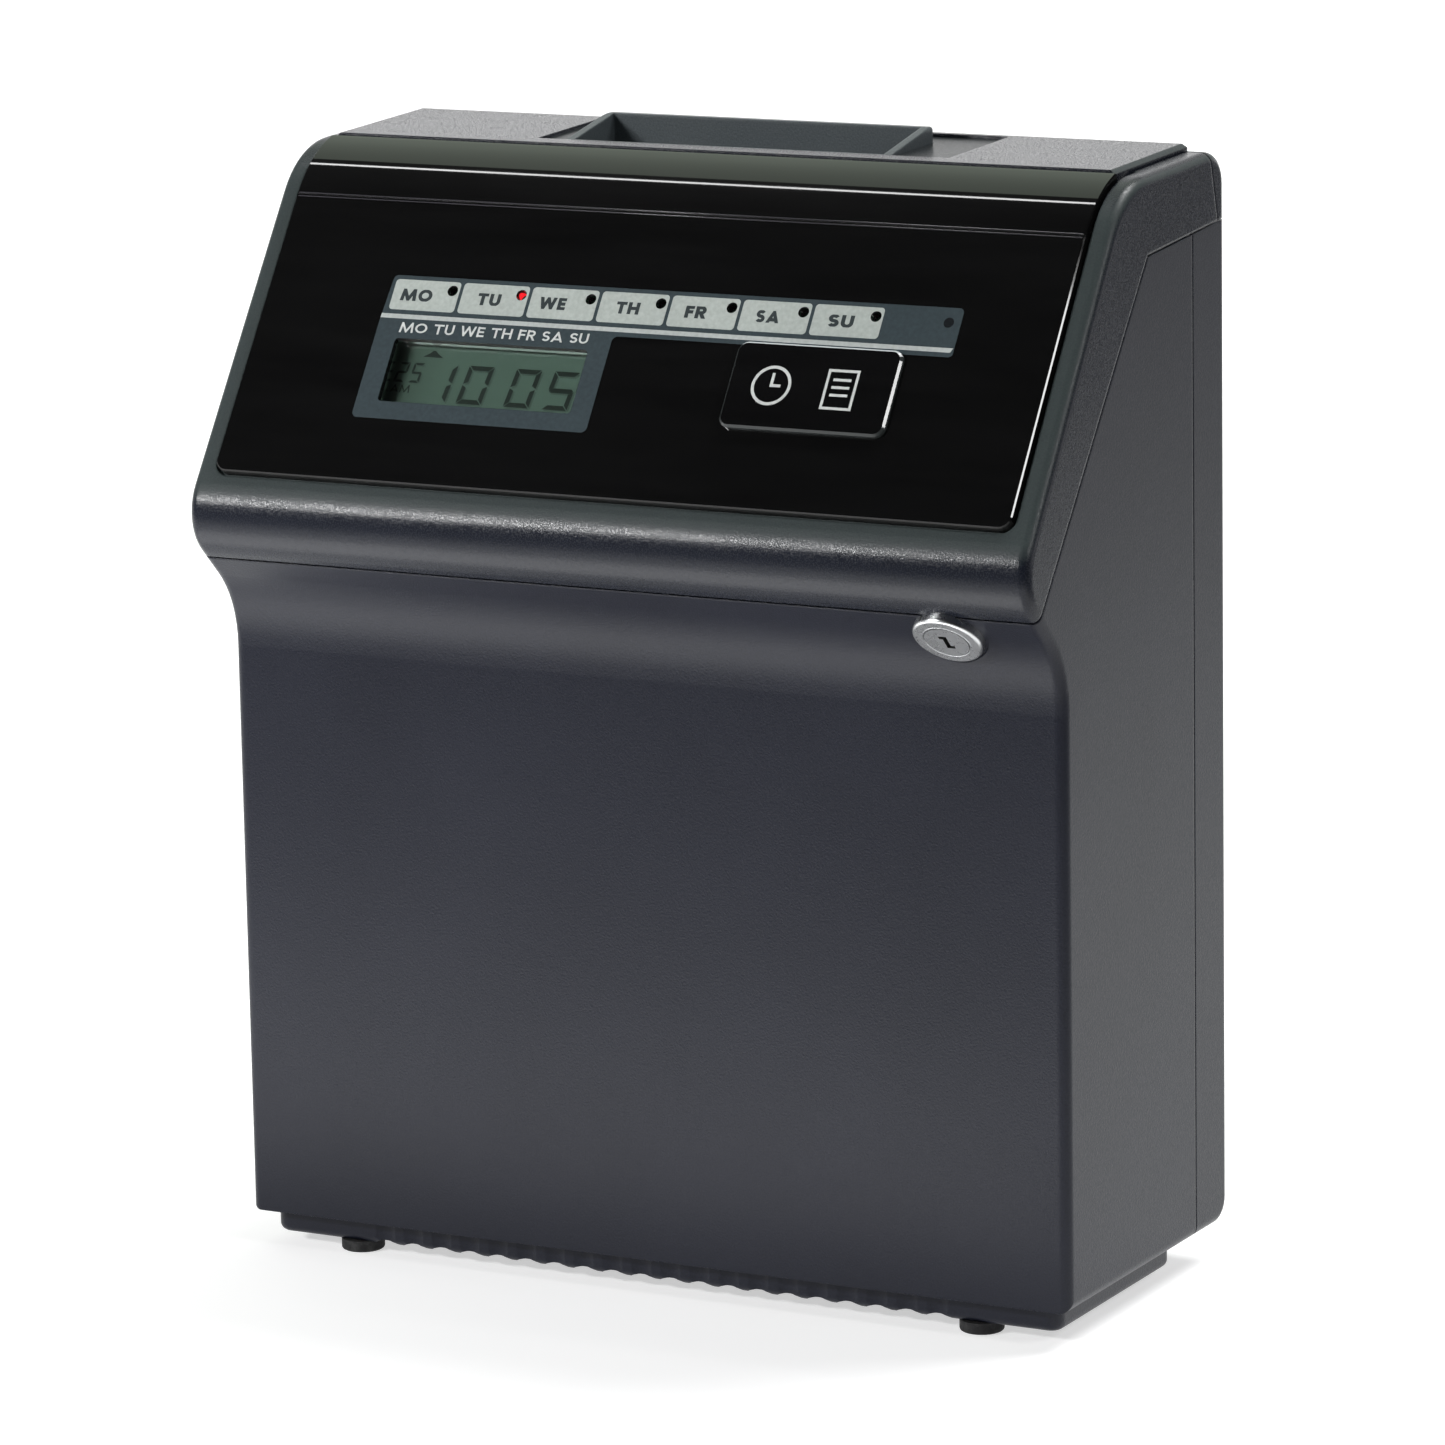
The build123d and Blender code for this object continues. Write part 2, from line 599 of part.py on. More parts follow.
with BuildPart() as top_deck:
    add(SHELL)
    add(BELOW_SEAM_GAP, mode=Mode.SUBTRACT)
    front_part = [
        (-90, TALL[0]),
        (-90, TALL[1]),
        (CHEEK_END[0][0] + CHEEK_GAP, TALL[1]),
        (CHEEK_END[0][0] + CHEEK_GAP, CHEEK_END[0][1]),
        (CHEEK_END[1][0] + CHEEK_GAP, CHEEK_END[1][1]),
        (CHEEK_END[1][0] + CHEEK_GAP, TALL[0]),
    ]
    prism_x(front_part, WIDE, Mode.SUBTRACT)
    deck_prism((-DECK_HALF, DECK_HALF), DECK_Y, CHEEK_TOP - DECK_SKIN, None)
    # bevel the sides and the back of the plate
    plate_top = top_deck.faces().filter_by(lambda f: abs(f.center().Z - deck_height(f.center().Y)) < 0.01)
    bevelled = plate_top.sort_by(SortBy.AREA)[-1].edges()
    bevelled = bevelled.filter_by(lambda e: e.center().Y > DECK_Y[0] + 0.1)
    chamfer(bevelled, DECK_BEVEL)
    # hollow under the plate, except under the card recess
    hollow_y = (DECK_Y[0] + DECK_SKIN, DECK_Y[1] - DECK_SKIN)
    hollow_z = (CHEEK_TOP - 3, DECK_FRONT_TOP - 1.8)
    block((-DECK_HALF + DECK_SKIN, RECESS_X[0] - DECK_SKIN), hollow_y, hollow_z, Mode.SUBTRACT)
    block((RECESS_X[1] + DECK_SKIN, DECK_HALF - DECK_SKIN), hollow_y, hollow_z, Mode.SUBTRACT)
    deck_prism(RECESS_X, RECESS_Y, None, THROAT_TOP, Mode.SUBTRACT)
    throat_y = (RECESS_Y[0], CARD_Y + CHANNEL / 2 + THROAT_WALL + 0.2)
    block((THROAT_X[0] - 0.2, THROAT_X[1] + 0.2), throat_y, (290, 320), Mode.SUBTRACT)
save(top_deck, "top_deck")

with BuildPart() as card_throat:
    rear = CARD_Y + CHANNEL / 2
    mouth = RECESS_Y[0] + 0.2
    lip = deck_height(mouth) - RECESS_DEPTH + 0.2
    outer = [
        (mouth, lip),
        (mouth + 1.5, lip + 0.4),
        (rear + 0.5, THROAT_TOP),
        (rear + THROAT_WALL, THROAT_TOP),
        (rear + THROAT_WALL, THROAT_FOOT_Z),
        (CARD_Y - CHANNEL / 2 - 2, THROAT_FOOT_Z),
        (CARD_Y - CHANNEL / 2 - 2, THROAT_FOOT_Z + 5),
        (mouth, 299),
    ]
    prism_x(outer, THROAT_X)
    # rounded upper corners of the back wall
    upper_corners = card_throat.edges().filter_by(Axis.Y).group_by(Axis.Z)[-1]
    fillet([upper_corners.sort_by(Axis.X)[0], upper_corners.sort_by(Axis.X)[-1]], 1.0)
    funnel = [
        (mouth + 2, THROAT_TOP + 3),
        (rear, THROAT_TOP + 3),
        (rear, THROAT_FOOT_Z - 1),
        (CARD_Y - CHANNEL / 2, THROAT_FOOT_Z - 1),
        (CARD_Y - CHANNEL / 2, THROAT_FOOT_Z + 6),
        (mouth + 2, 300.5),
    ]
    prism_x(funnel, (THROAT_X[0] + THROAT_WALL, THROAT_X[1] - THROAT_WALL), Mode.SUBTRACT)
save(card_throat, "card_throat")

with BuildPart() as base_tray:
    block((-TRAY_HALF, TRAY_HALF), TRAY_Y, TRAY_Z)
    fillet(base_tray.edges().filter_by(Axis.Z), 4.0)
    fillet(base_tray.faces().sort_by(Axis.Z)[0].edges(), 2.3)
    # rear lip that closes the gap up to the back case
    block((-TRAY_HALF, TRAY_HALF), (TRAY_Y[1] - 1, CASE_SEAM_Y + 0.1), (BOTTOM_Z + 0.4, BOTTOM_Z + WALL))
    inner_y = (TRAY_Y[0] + WALL, TRAY_Y[1] - WALL)
    block((-TRAY_HALF + WALL, TRAY_HALF - WALL), inner_y, (TRAY_Z[0] + 3.0, TRAY_Z[1] + 1), Mode.SUBTRACT)
    # the front lip: shallow upright flutes, each with a scalloped lower edge
    for i in range(FLUTES):
        x = (i - (FLUTES - 1) / 2) * FLUTE_PITCH
        rod_z(FLUTE_R, x, TRAY_Y[0] - FLUTE_R + 0.7, (TRAY_Z[0] - 1, BOTTOM_Z - 0.8), Mode.SUBTRACT)
        rod_y(FLUTE_R, x, (TRAY_Y[0] - 1, TRAY_Y[0] + 4.5), TRAY_Z[0] - FLUTE_R + 1.3, Mode.SUBTRACT)
    # sockets for the feet
    for x, y in FEET:
        rod_z(FOOT_PEG_R + 0.1, x, y, (TRAY_Z[0] - 1, TRAY_Z[0] + 2), Mode.SUBTRACT)
save(base_tray, "base_tray")

with BuildPart() as rubber_feet:
    for x, y in FEET:
        rod_z(FOOT_R, x, y, (0, TRAY_Z[0]))
        rod_z(FOOT_PEG_R, x, y, (TRAY_Z[0], TRAY_Z[0] + 1.8))
    fillet(rubber_feet.faces().group_by(Axis.Z)[0].edges(), FOOT_ROUNDING)
save(rubber_feet, "rubber_feet")

# ---- lock ---------------------------------------------------------------------------
with BuildPart() as lock_housing:
    lock_disc(LOCK_RIM_R, (0, LOCK_RIM_H))
    fillet(lock_housing.edges().group_by(lambda e: -e.center().dot(lock_plane(0).z_dir))[0], 0.9)
    lock_disc(LOCK_BODY_R, (-16, 0))
    lock_disc(PLUG_R + RUN_FIT, (LOCK_BACK, LOCK_RIM_H + 1), Mode.SUBTRACT)
    lock_disc(LOCK_FACE_R + 0.2, (LOCK_RIM_H - 1.2, LOCK_RIM_H + 1), Mode.SUBTRACT)
save(lock_housing, "lock_housing")

with BuildPart() as lock_nut:
    with BuildSketch(lock_plane(-WALL - 2.6)) as nut_face:
        RegularPolygon(9.0, 6, major_radius=False)
        Circle(LOCK_BODY_R + 0.05, mode=Mode.SUBTRACT)
    extrude(nut_face.sketch, amount=NUT_T)
save(lock_nut, "lock_nut")

with BuildPart() as lock_plug:
    lock_disc(LOCK_FACE_R, (LOCK_RIM_H - 1.1, LOCK_RIM_H + 0.1))
    lock_disc(PLUG_R, (LOCK_BACK, LOCK_RIM_H - 1.0))
    lock_disc(CAM_POST_R, (CAM_N, LOCK_BACK))
    # keyway: a narrow upright slot with a step to each side
    for x, y, wide, high in KEYWAY:
        with BuildSketch(lock_plane(LOCK_RIM_H - 8)) as keyway:
            with Locations((x, y)):
                Rectangle(wide, high)
        extrude(keyway.sketch, amount=10, mode=Mode.SUBTRACT)
save(lock_plug, "lock_plug")

with BuildPart() as lock_cam:
    with BuildSketch(lock_plane(CAM_N)) as cam_face:
        with Locations((0, -7)):
            SlotOverall(26, 12, rotation=90)
        Circle(CAM_POST_R + 0.02, mode=Mode.SUBTRACT)
    extrude(cam_face.sketch, amount=CAM_T)
save(lock_cam, "lock_cam")

with BuildPart() as cam_screw:
    lock_disc(4.2, (CAM_N - 1.8, CAM_N - 0.05))
save(cam_screw, "cam_screw")

# ---- chassis ------------------------------------------------------------------------
with BuildPart() as chassis_back_plate:
    block((-100, 100), CHASSIS_BACK_Y, CHASSIS_Z)
    # corner cut away for the power inlet
    block((-101, -93), (50, 60), (15, INLET_Z + 12), Mode.SUBTRACT)
    # bent floor that carries the transformer and the battery
    block((-PLATE_X + 0.05, PLATE_X - 0.05), (CHASSIS_FRONT_Y + 1, CHASSIS_BACK_Y[0]), CHASSIS_FLOOR_Z)
save(chassis_back_plate, "chassis_back_plate")

slope_foot = slope_point(14, -14)
slope_head = slope_point(78, -14)
side_outline = [
    (CHASSIS_BACK_Y[0], CHASSIS_Z[0]),
    (CHASSIS_FRONT_Y, CHASSIS_Z[0]),
    (CHASSIS_FRONT_Y, 187),
    (-21.6, 191.6),
    (-35.8, 205.3),
    (slope_foot[0], 210),
    slope_foot,
    slope_head,
    (slope_head[0] + 6, CHASSIS_Z[1]),
    (CHASSIS_BACK_Y[0], CHASSIS_Z[1]),
]


def tab(side, inward, y, z):
    """A bent tab that reaches inward from a side plate."""
    block(mirrored(side, PLATE_X + 0.1, inward), y, z)


for side, name in ((-1, "chassis_left_plate"), (1, "chassis_right_plate")):
    x = mirrored(side, PLATE_X, PLATE_X + PLATE_T)
    with BuildPart() as side_plate:
        prism_x(side_outline, x)
        for shaft_z in SHAFT_Z:
            rod_x(SHAFT_R + 0.05, x, SHAFT_Y, shaft_z, Mode.SUBTRACT)
        rod_x(FEED_SHAFT_R + RUN_FIT, x, FEED_Y, FEED_Z, Mode.SUBTRACT)
        rod_x(PINCH_SHAFT_R + RUN_FIT, x, PINCH_Y, FEED_Z, Mode.SUBTRACT)
        # tabs for the main board, the card guides and the ribbon cassette
        for z in BOARD_SCREW_Z:
            tab(side, PLATE_X - 11, (MAIN_BOARD_Y[1] + 0.05, CHASSIS_FRONT_Y + 0.8), (z - 6, z + 6))
        for z in (112, 180, 262):
            tab(side, GUIDE_HALF - 3, (GUIDE_BACK_Y, GUIDE_BACK_Y + 1.5), (z - 5, z + 5))
        tab(side, 60.2, (-6, 20), (226.4, 227.9))
        if side > 0:
            # bracket of the feed motor
            bracket_x = (FEED_MOTOR_X[1] + 0.05, FEED_MOTOR_X[1] + 1.4)
            bracket_z = (FEED_Z - 16, FEED_Z + 16)
            block(bracket_x, (FEED_MOTOR_Y - 16, FEED_MOTOR_Y + 9), bracket_z)
            rod_x(3.0, (70, 72), FEED_MOTOR_Y, FEED_Z, Mode.SUBTRACT)
            tab(side, bracket_x[1] - 0.1, (FEED_MOTOR_Y - 16, FEED_MOTOR_Y - 14.5), bracket_z)
        else:
            # bracket and post of the idler pulley
            tab(side, PULLEY_X - 18, BRACKET_PLATE_Y, (PULLEY_Z - 10, PULLEY_Z + 10))
            rod_y(IDLER_POST_R, -PULLEY_X, (BRACKET_PLATE_Y[0], -3.4), PULLEY_Z)
    save(side_plate, name)

with BuildPart() as lock_strike:
    # plate in front of the turned cam, and its web back to the side plate
    with BuildSketch(lock_plane(-16.6)) as strike_face:
        with Locations((-15.5, 1.5)):
            Rectangle(8.9, 15)
    extrude(strike_face.sketch, amount=1.5)
    with BuildSketch(lock_plane(-27)) as web_face:
        with Locations((-15.5, 8.25)):
            Rectangle(8.9, 1.5)
    extrude(web_face.sketch, amount=10.5)
    # foot beside the side plate
    with BuildSketch(lock_plane(-27)) as foot_face:
        with Locations((-12.6, 8.25)):
            Rectangle(3.1, 8)
    extrude(foot_face.sketch, amount=4)
save(lock_strike, "lock_strike")

with BuildPart() as card_guide_front:
    front_y = (GUIDE_FRONT_Y, GUIDE_FRONT_Y + GUIDE_T)
    rail_y = (front_y[1], CARD_Y + CHANNEL / 2 - 0.05)
    block((-GUIDE_HALF, GUIDE_HALF), front_y, GUIDE_Z)
    for side in (-1, 1):
        block(mirrored(side, *GUIDE_RAIL_X), rail_y, GUIDE_Z)
    # card stop
    block((-GUIDE_RAIL_X[0], GUIDE_RAIL_X[0]), rail_y, (GUIDE_Z[0], CARD_STOP_Z))
    # windows for the print head and the feed rollers
    cut_y = (front_y[0] - 1, front_y[1] + 0.1)
    block((-44, 44), cut_y, (STRIKE_Z[0] - 2, STRIKE_Z[1] + 2), Mode.SUBTRACT)
    for x in (-ROLLER_X, ROLLER_X):
        block((x - ROLLER_OPENING[0], x + ROLLER_OPENING[0]), cut_y, ROLLER_OPENING_Z, Mode.SUBTRACT)
save(card_guide_front, "card_guide_front")

with BuildPart() as card_guide_rear:
    rear_y = (GUIDE_BACK_Y - GUIDE_T, GUIDE_BACK_Y)
    block((-GUIDE_HALF, GUIDE_HALF), rear_y, GUIDE_Z)
    cut_y = (rear_y[0] - 1, rear_y[1] + 1)
    block((-44, 44), cut_y, STRIKE_Z, Mode.SUBTRACT)
    for x in (-ROLLER_X, ROLLER_X):
        block((x - ROLLER_OPENING[0], x + ROLLER_OPENING[0]), cut_y, ROLLER_OPENING_Z, Mode.SUBTRACT)
save(card_guide_rear, "card_guide_rear")

with BuildPart() as platen:
    face_y = CARD_Y + CHANNEL / 2 + 0.1
    block((-43.8, 43.8), (face_y, face_y + 3.4), (STRIKE_Z[0] + 0.2, STRIKE_Z[1] - 0.2))
    block((-50, 50), (rear_y[1] + 0.05, rear_y[1] + 5), (195, 199.1))
    block((-50, 50), (rear_y[1] + 2.0, rear_y[1] + 5), (199, 213))
save(platen, "platen")

# ---- print carriage -----------------------------------------------------------------
with BuildPart() as carriage_shafts:
    for shaft_z in SHAFT_Z:
        rod_x(SHAFT_R, (-PLATE_X - PLATE_T, PLATE_X + PLATE_T), SHAFT_Y, shaft_z)
save(carriage_shafts, "carriage_shafts")

with BuildPart() as carriage_block:
    block((-CARRIAGE_X, CARRIAGE_X), CARRIAGE_Y, CARRIAGE_Z)
    for shaft_z in SHAFT_Z:
        rod_x(SHAFT_R + RUN_FIT, (-20, 20), SHAFT_Y, shaft_z, Mode.SUBTRACT)
    # two jaws that grip the lower run of the belt
    belt_z = PULLEY_Z - PULLEY_R
    jaw_y = (BELT_Y[0], CARRIAGE_Y[0])
    block((-JAW_X, JAW_X), jaw_y, (belt_z + 0.1, belt_z + 0.1 + JAW_T))
    block((-JAW_X, JAW_X), jaw_y, (belt_z - BELT_T - 0.1 - JAW_T, belt_z - BELT_T - 0.1))
save(carriage_block, "carriage_block")

with BuildPart() as print_head:
    block((-15, 15), (CARRIAGE_Y[1] + 0.05, 24), (190, 218))
    block((-10, 10), (24, 28), (196, 212))
    block((-3.5, 3.5), (28, GUIDE_FRONT_Y - 1.6), STRIKE_Z)
save(print_head, "print_head")

with BuildPart() as drive_belt:
    with BuildSketch(front_plane(BELT_Y[0], 0, PULLEY_Z)) as belt_face:
        SlotCenterToCenter(2 * PULLEY_X, 2 * (PULLEY_R + BELT_T))
        SlotCenterToCenter(2 * PULLEY_X, 2 * PULLEY_R, mode=Mode.SUBTRACT)
    extrude(belt_face.sketch, amount=-(BELT_Y[1] - BELT_Y[0]))
save(drive_belt, "drive_belt")

with BuildPart() as carriage_motor:
    rod_y(MOTOR_R, PULLEY_X, MOTOR_Y, PULLEY_Z)
    rod_y(MOTOR_BOSS_R, PULLEY_X, (MOTOR_Y[1], MOTOR_Y[1] + 1.6), PULLEY_Z)
    rod_y(MOTOR_SHAFT_R + RUN_FIT, PULLEY_X, (MOTOR_Y[0] - 1, MOTOR_Y[1] + 2), PULLEY_Z, Mode.SUBTRACT)
save(carriage_motor, "carriage_motor")

with BuildPart() as motor_bracket:
    bracket_z = (PULLEY_Z - 18, PULLEY_Z + 18)
    block((PULLEY_X - 16, PLATE_X), BRACKET_PLATE_Y, bracket_z)
    rod_y(MOTOR_BOSS_R + 0.1, PULLEY_X, (-14, -12), PULLEY_Z, Mode.SUBTRACT)
    block((PLATE_X - 1.4, PLATE_X), (BRACKET_PLATE_Y[1], -2), bracket_z)
save(motor_bracket, "motor_bracket")



def pulley_wheel(x):
    """Belt wheel between two flanges."""
    wheel_y = (BELT_Y[0] - 0.2, BELT_Y[1] + 0.2)
    rod_y(PULLEY_R - 0.05, x, wheel_y, PULLEY_Z)
    rod_y(FLANGE_R, x, (wheel_y[0] - FLANGE_T, wheel_y[0]), PULLEY_Z)
    rod_y(FLANGE_R, x, (wheel_y[1], wheel_y[1] + FLANGE_T), PULLEY_Z)


with BuildPart() as motor_pulley:
    pulley_wheel(PULLEY_X)
    rod_y(MOTOR_SHAFT_R, PULLEY_X, (MOTOR_Y[0] + 1, BELT_Y[0]), PULLEY_Z)
    rod_y(0.9, PULLEY_X + 3.6, (BELT_Y[1] - 1, BELT_Y[1] + 2), PULLEY_Z, Mode.SUBTRACT)
save(motor_pulley, "motor_pulley")

with BuildPart() as idler_pulley:
    pulley_wheel(-PULLEY_X)
    rod_y(IDLER_POST_R + RUN_FIT, -PULLEY_X, (-14, 0), PULLEY_Z, Mode.SUBTRACT)
    rod_y(0.9, -PULLEY_X + 4.2, (BELT_Y[1] - 1, BELT_Y[1] + 2), PULLEY_Z, Mode.SUBTRACT)
save(idler_pulley, "idler_pulley")

# ---- ribbon -------------------------------------------------------------------------
with BuildPart() as ribbon_cassette:
    block((-CASSETTE_HALF, CASSETTE_HALF), (-6, RIBBON_Y + 0.4), CASSETTE_Z)
    for side in (-1, 1):
        block(mirrored(side, CASSETTE_ARM, CASSETTE_HALF), (24, RIBBON_Y + 0.4), (196, CASSETTE_Z[0]))
    rod_z(KNOB_STEM_R + RUN_FIT, KNOB_X, SHAFT_Y, (230, 243), Mode.SUBTRACT)
save(ribbon_cassette, "ribbon_cassette")

with BuildPart() as ribbon_tape:
    block((-CASSETTE_ARM, CASSETTE_ARM), (RIBBON_Y, RIBBON_Y + RIBBON_T), (198, 210))
save(ribbon_tape, "ribbon_tape")

with BuildPart() as ribbon_knob:
    rod_z(KNOB_STEM_R, KNOB_X, SHAFT_Y, (230.5, 243))
    rod_z(KNOB_R, KNOB_X, SHAFT_Y, (CASSETTE_Z[1] + 0.4, KNOB_TOP))
    with Locations(Location((KNOB_X, SHAFT_Y, KNOB_TOP - 3))):
        with PolarLocations(KNOB_R, 12):
            Cylinder(1.0, 8, mode=Mode.SUBTRACT)
save(ribbon_knob, "ribbon_knob")

# ---- card feed ----------------------------------------------------------------------
with BuildPart() as feed_shaft:
    rod_x(FEED_SHAFT_R, (-PLATE_X - 3, PLATE_X + 3), FEED_Y, FEED_Z)
save(feed_shaft, "feed_shaft")

with BuildPart() as feed_rollers:
    for x in (-ROLLER_X, ROLLER_X):
        rod_x(FEED_ROLLER_R, (x - ROLLER_W / 2, x + ROLLER_W / 2), FEED_Y, FEED_Z)
        rod_x(FEED_SHAFT_R, (x - ROLLER_W, x + ROLLER_W), FEED_Y, FEED_Z, Mode.SUBTRACT)
save(feed_rollers, "feed_rollers")

with BuildPart() as feed_gear:
    gear = gear_face(side_plane(GEAR_X[0], FEED_Y, FEED_Z), GEAR_TEETH)
    extrude(gear, amount=GEAR_X[1] - GEAR_X[0])
    rod_x(FEED_SHAFT_R, (GEAR_X[0] - 1, GEAR_X[1] + 1), FEED_Y, FEED_Z, Mode.SUBTRACT)
save(feed_gear, "feed_gear")

with BuildPart() as feed_pinion:
    half_pitch = radians(180 / PINION_TEETH)
    pinion_plane = Plane(
        origin=(GEAR_X[0], FEED_MOTOR_Y, FEED_Z),
        x_dir=(0, cos(half_pitch), sin(half_pitch)),
        z_dir=(1, 0, 0),
    )
    pinion = gear_face(pinion_plane, PINION_TEETH)
    extrude(pinion, amount=GEAR_X[1] - GEAR_X[0])
    rod_x(MOTOR_SHAFT_R, (FEED_MOTOR_X[0] + 2, GEAR_X[0] + 1), FEED_MOTOR_Y, FEED_Z)
save(feed_pinion, "feed_pinion")

with BuildPart() as feed_motor:
    rod_x(FEED_MOTOR_R, FEED_MOTOR_X, FEED_MOTOR_Y, FEED_Z)
    rod_x(MOTOR_SHAFT_R + RUN_FIT, (49, 71), FEED_MOTOR_Y, FEED_Z, Mode.SUBTRACT)
save(feed_motor, "feed_motor")

with BuildPart() as pinch_roller:
    rod_x(PINCH_SHAFT_R, (-PLATE_X - 2, PLATE_X + 2), PINCH_Y, FEED_Z)
    for x in (-ROLLER_X, ROLLER_X):
        rod_x(PINCH_ROLLER_R, (x - ROLLER_W / 2, x + ROLLER_W / 2), PINCH_Y, FEED_Z)
        dimple_x = (x + ROLLER_W / 2 - 1, x + ROLLER_W / 2 + 1)
        rod_x(0.7, dimple_x, PINCH_Y + 3.8, FEED_Z, Mode.SUBTRACT)
save(pinch_roller, "pinch_roller")

# ---- display and keys ---------------------------------------------------------------
with BuildPart() as display_bracket:
    slope_block((-PLATE_X + 0.1, PLATE_X - 0.1), (12, 78), (-12, -10.8))
    for side in (-1, 1):
        slope_block(mirrored(side, PLATE_X - 0.1, PLATE_X - 1.4), (24, 76), (-26, -11))
save(display_bracket, "display_bracket")

with BuildPart() as display_module:
    slope_block((-80, -10), (21, 50.5), (BOARD_N[0], -4.5))
    slope_block((LCD_X[0] - 1.5, LCD_X[1] + 1.5), (LCD_S[0] - 1.5, LCD_S[1] + 1.5), (-6, -4), Mode.SUBTRACT)
save(display_module, "display_module")

with BuildPart() as display_glass:
    slope_block((LCD_X[0] - 1.4, LCD_X[1] + 1.4), (LCD_S[0] - 1.4, LCD_S[1] + 1.4), GLASS_N)
save(display_glass, "display_glass")

with BuildPart() as lamp_board:
    slope_block((-75, 96), (54, 68), BOARD_N)
    slope_block((PLATE_X - 2.0, 97), (53, 69), (-12.1, -10.7), Mode.SUBTRACT)
save(lamp_board, "lamp_board")

with BuildPart() as day_lamps:
    for i in range(LAMP_COUNT):
        x = LAMP_X0 + i * LAMP_PITCH
        slope_disc(LAMP_R, x, LAMP_S, LAMP_N)
        slope_disc(LAMP_R + 0.4, x, LAMP_S, (LAMP_N[0], LAMP_N[0] + 0.95))
save(day_lamps, "day_lamps")

with BuildPart() as key_board:
    slope_block((26, 81), (26, 46), BOARD_N)
    for x in KEY_X:
        slope_block((x - 4.4, x + 4.4), (KEY_S - 4.4, KEY_S + 4.4), (BOARD_N[1], -6.4))
        slope_disc(KEY_STEM_R + 0.1, x, KEY_S, (-8.6, -6), Mode.SUBTRACT)
save(key_board, "key_board")

for number, x in enumerate(KEY_X, 1):
    with BuildPart() as key:
        slope_disc(KEY_STEM_R, x, KEY_S, (KEY_N[0], KEY_N[1]))
        slope_disc(KEY_R, x, KEY_S, (KEY_N[1], KEY_N[2]))
    save(key, "setting_key_" + str(number))

# ---- boards and power ---------------------------------------------------------------
with BuildPart() as main_board:
    block((-MAIN_BOARD_HALF, MAIN_BOARD_HALF), MAIN_BOARD_Y, MAIN_BOARD_Z)
save(main_board, "main_board")

with BuildPart() as board_components:
    for x, z, wide, high, tall in (
        (-20, 118, 16, 16, 2.4),
        (14, 122, 12, 20, 2.2),
        (-52, 88, 18, 9, 3.0),
        (44, 86, 22, 8, 6.5),
        (-60, 140, 28, 6, 7.0),
        (56, 146, 30, 6, 7.0),
        (0, 84, 10, 6, 2.0),
    ):
        block((x - wide / 2, x + wide / 2), (PART_Y - tall, PART_Y), (z - high / 2, z + high / 2))
    for x, z in ((-30, 76), (-14, 70), (26, 70)):
        rod_y(4.0, x, (PART_Y - 10.25, PART_Y), z)
save(board_components, "board_components")

with BuildPart() as buzzer:
    rod_y(8.0, BUZZER[0], (-32, PART_Y), BUZZER[1])
    rod_y(1.2, BUZZER[0], (-33, -30), BUZZER[1], Mode.SUBTRACT)
save(buzzer, "buzzer")

with BuildPart() as board_screws:
    for x in (-BOARD_SCREW_X, BOARD_SCREW_X):
        for z in BOARD_SCREW_Z:
            rod_y(3.0, x, (PART_Y - 1.95, PART_Y), z)
            rod_y(1.0, x, (PART_Y - 2.75, PART_Y - 1.35), z, Mode.SUBTRACT)
save(board_screws, "board_screws")

with BuildPart() as backup_battery:
    for x in BATTERY_X:
        rod_y(BATTERY_R, x, BATTERY_Y, CHASSIS_FLOOR_Z[1] + 1 + BATTERY_R)
    wrap_x = (BATTERY_X[0] - BATTERY_R, BATTERY_X[-1] + BATTERY_R)
    block(wrap_x, BATTERY_Y, (CHASSIS_FLOOR_Z[1] + 0.9, CHASSIS_FLOOR_Z[1] + 2.5))
save(backup_battery, "backup_battery")

with BuildPart() as transformer:
    block(CORE_X, CORE_Y, (CHASSIS_FLOOR_Z[1] + 0.05, 62))
    block(COIL_X, (CORE_Y[0] - 10, CORE_Y[0]), COIL_Z)
    block(COIL_X, (CORE_Y[1], CORE_Y[1] + 10), COIL_Z)
save(transformer, "transformer")

with BuildPart() as power_inlet:
    inlet_y = (BACK_Y - 16, BACK_Y - 0.3)
    half_x = INLET_HALF[0] - 0.2
    half_z = INLET_HALF[1] - 0.2
    block((INLET_X - half_x, INLET_X + half_x), inlet_y, (INLET_Z - half_z, INLET_Z + half_z))
    inlet_plane = Plane(origin=(INLET_X, BACK_Y, INLET_Z), x_dir=(-1, 0, 0), z_dir=(0, 1, 0))
    with BuildSketch(inlet_plane) as inlet_face:
        SlotOverall(15.0, 9.0)
    extrude(inlet_face.sketch, amount=-12.5, mode=Mode.SUBTRACT)
    for x in (INLET_X - 4.3, INLET_X + 4.3):
        rod_y(1.2, x, (BACK_Y - 13, BACK_Y - 3), INLET_Z)
save(power_inlet, "power_inlet")
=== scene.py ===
import bpy
import bmesh
import json
import math
from mathutils import Matrix, Vector


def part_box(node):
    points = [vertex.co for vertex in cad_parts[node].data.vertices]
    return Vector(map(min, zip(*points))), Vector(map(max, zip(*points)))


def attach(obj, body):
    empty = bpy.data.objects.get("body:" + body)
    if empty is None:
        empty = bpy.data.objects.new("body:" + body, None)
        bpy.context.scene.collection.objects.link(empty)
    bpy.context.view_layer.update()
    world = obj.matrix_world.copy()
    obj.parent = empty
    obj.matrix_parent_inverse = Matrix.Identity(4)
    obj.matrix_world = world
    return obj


# Looks of the punch time clock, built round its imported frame. Metres, +X right, +Y back, +Z up.

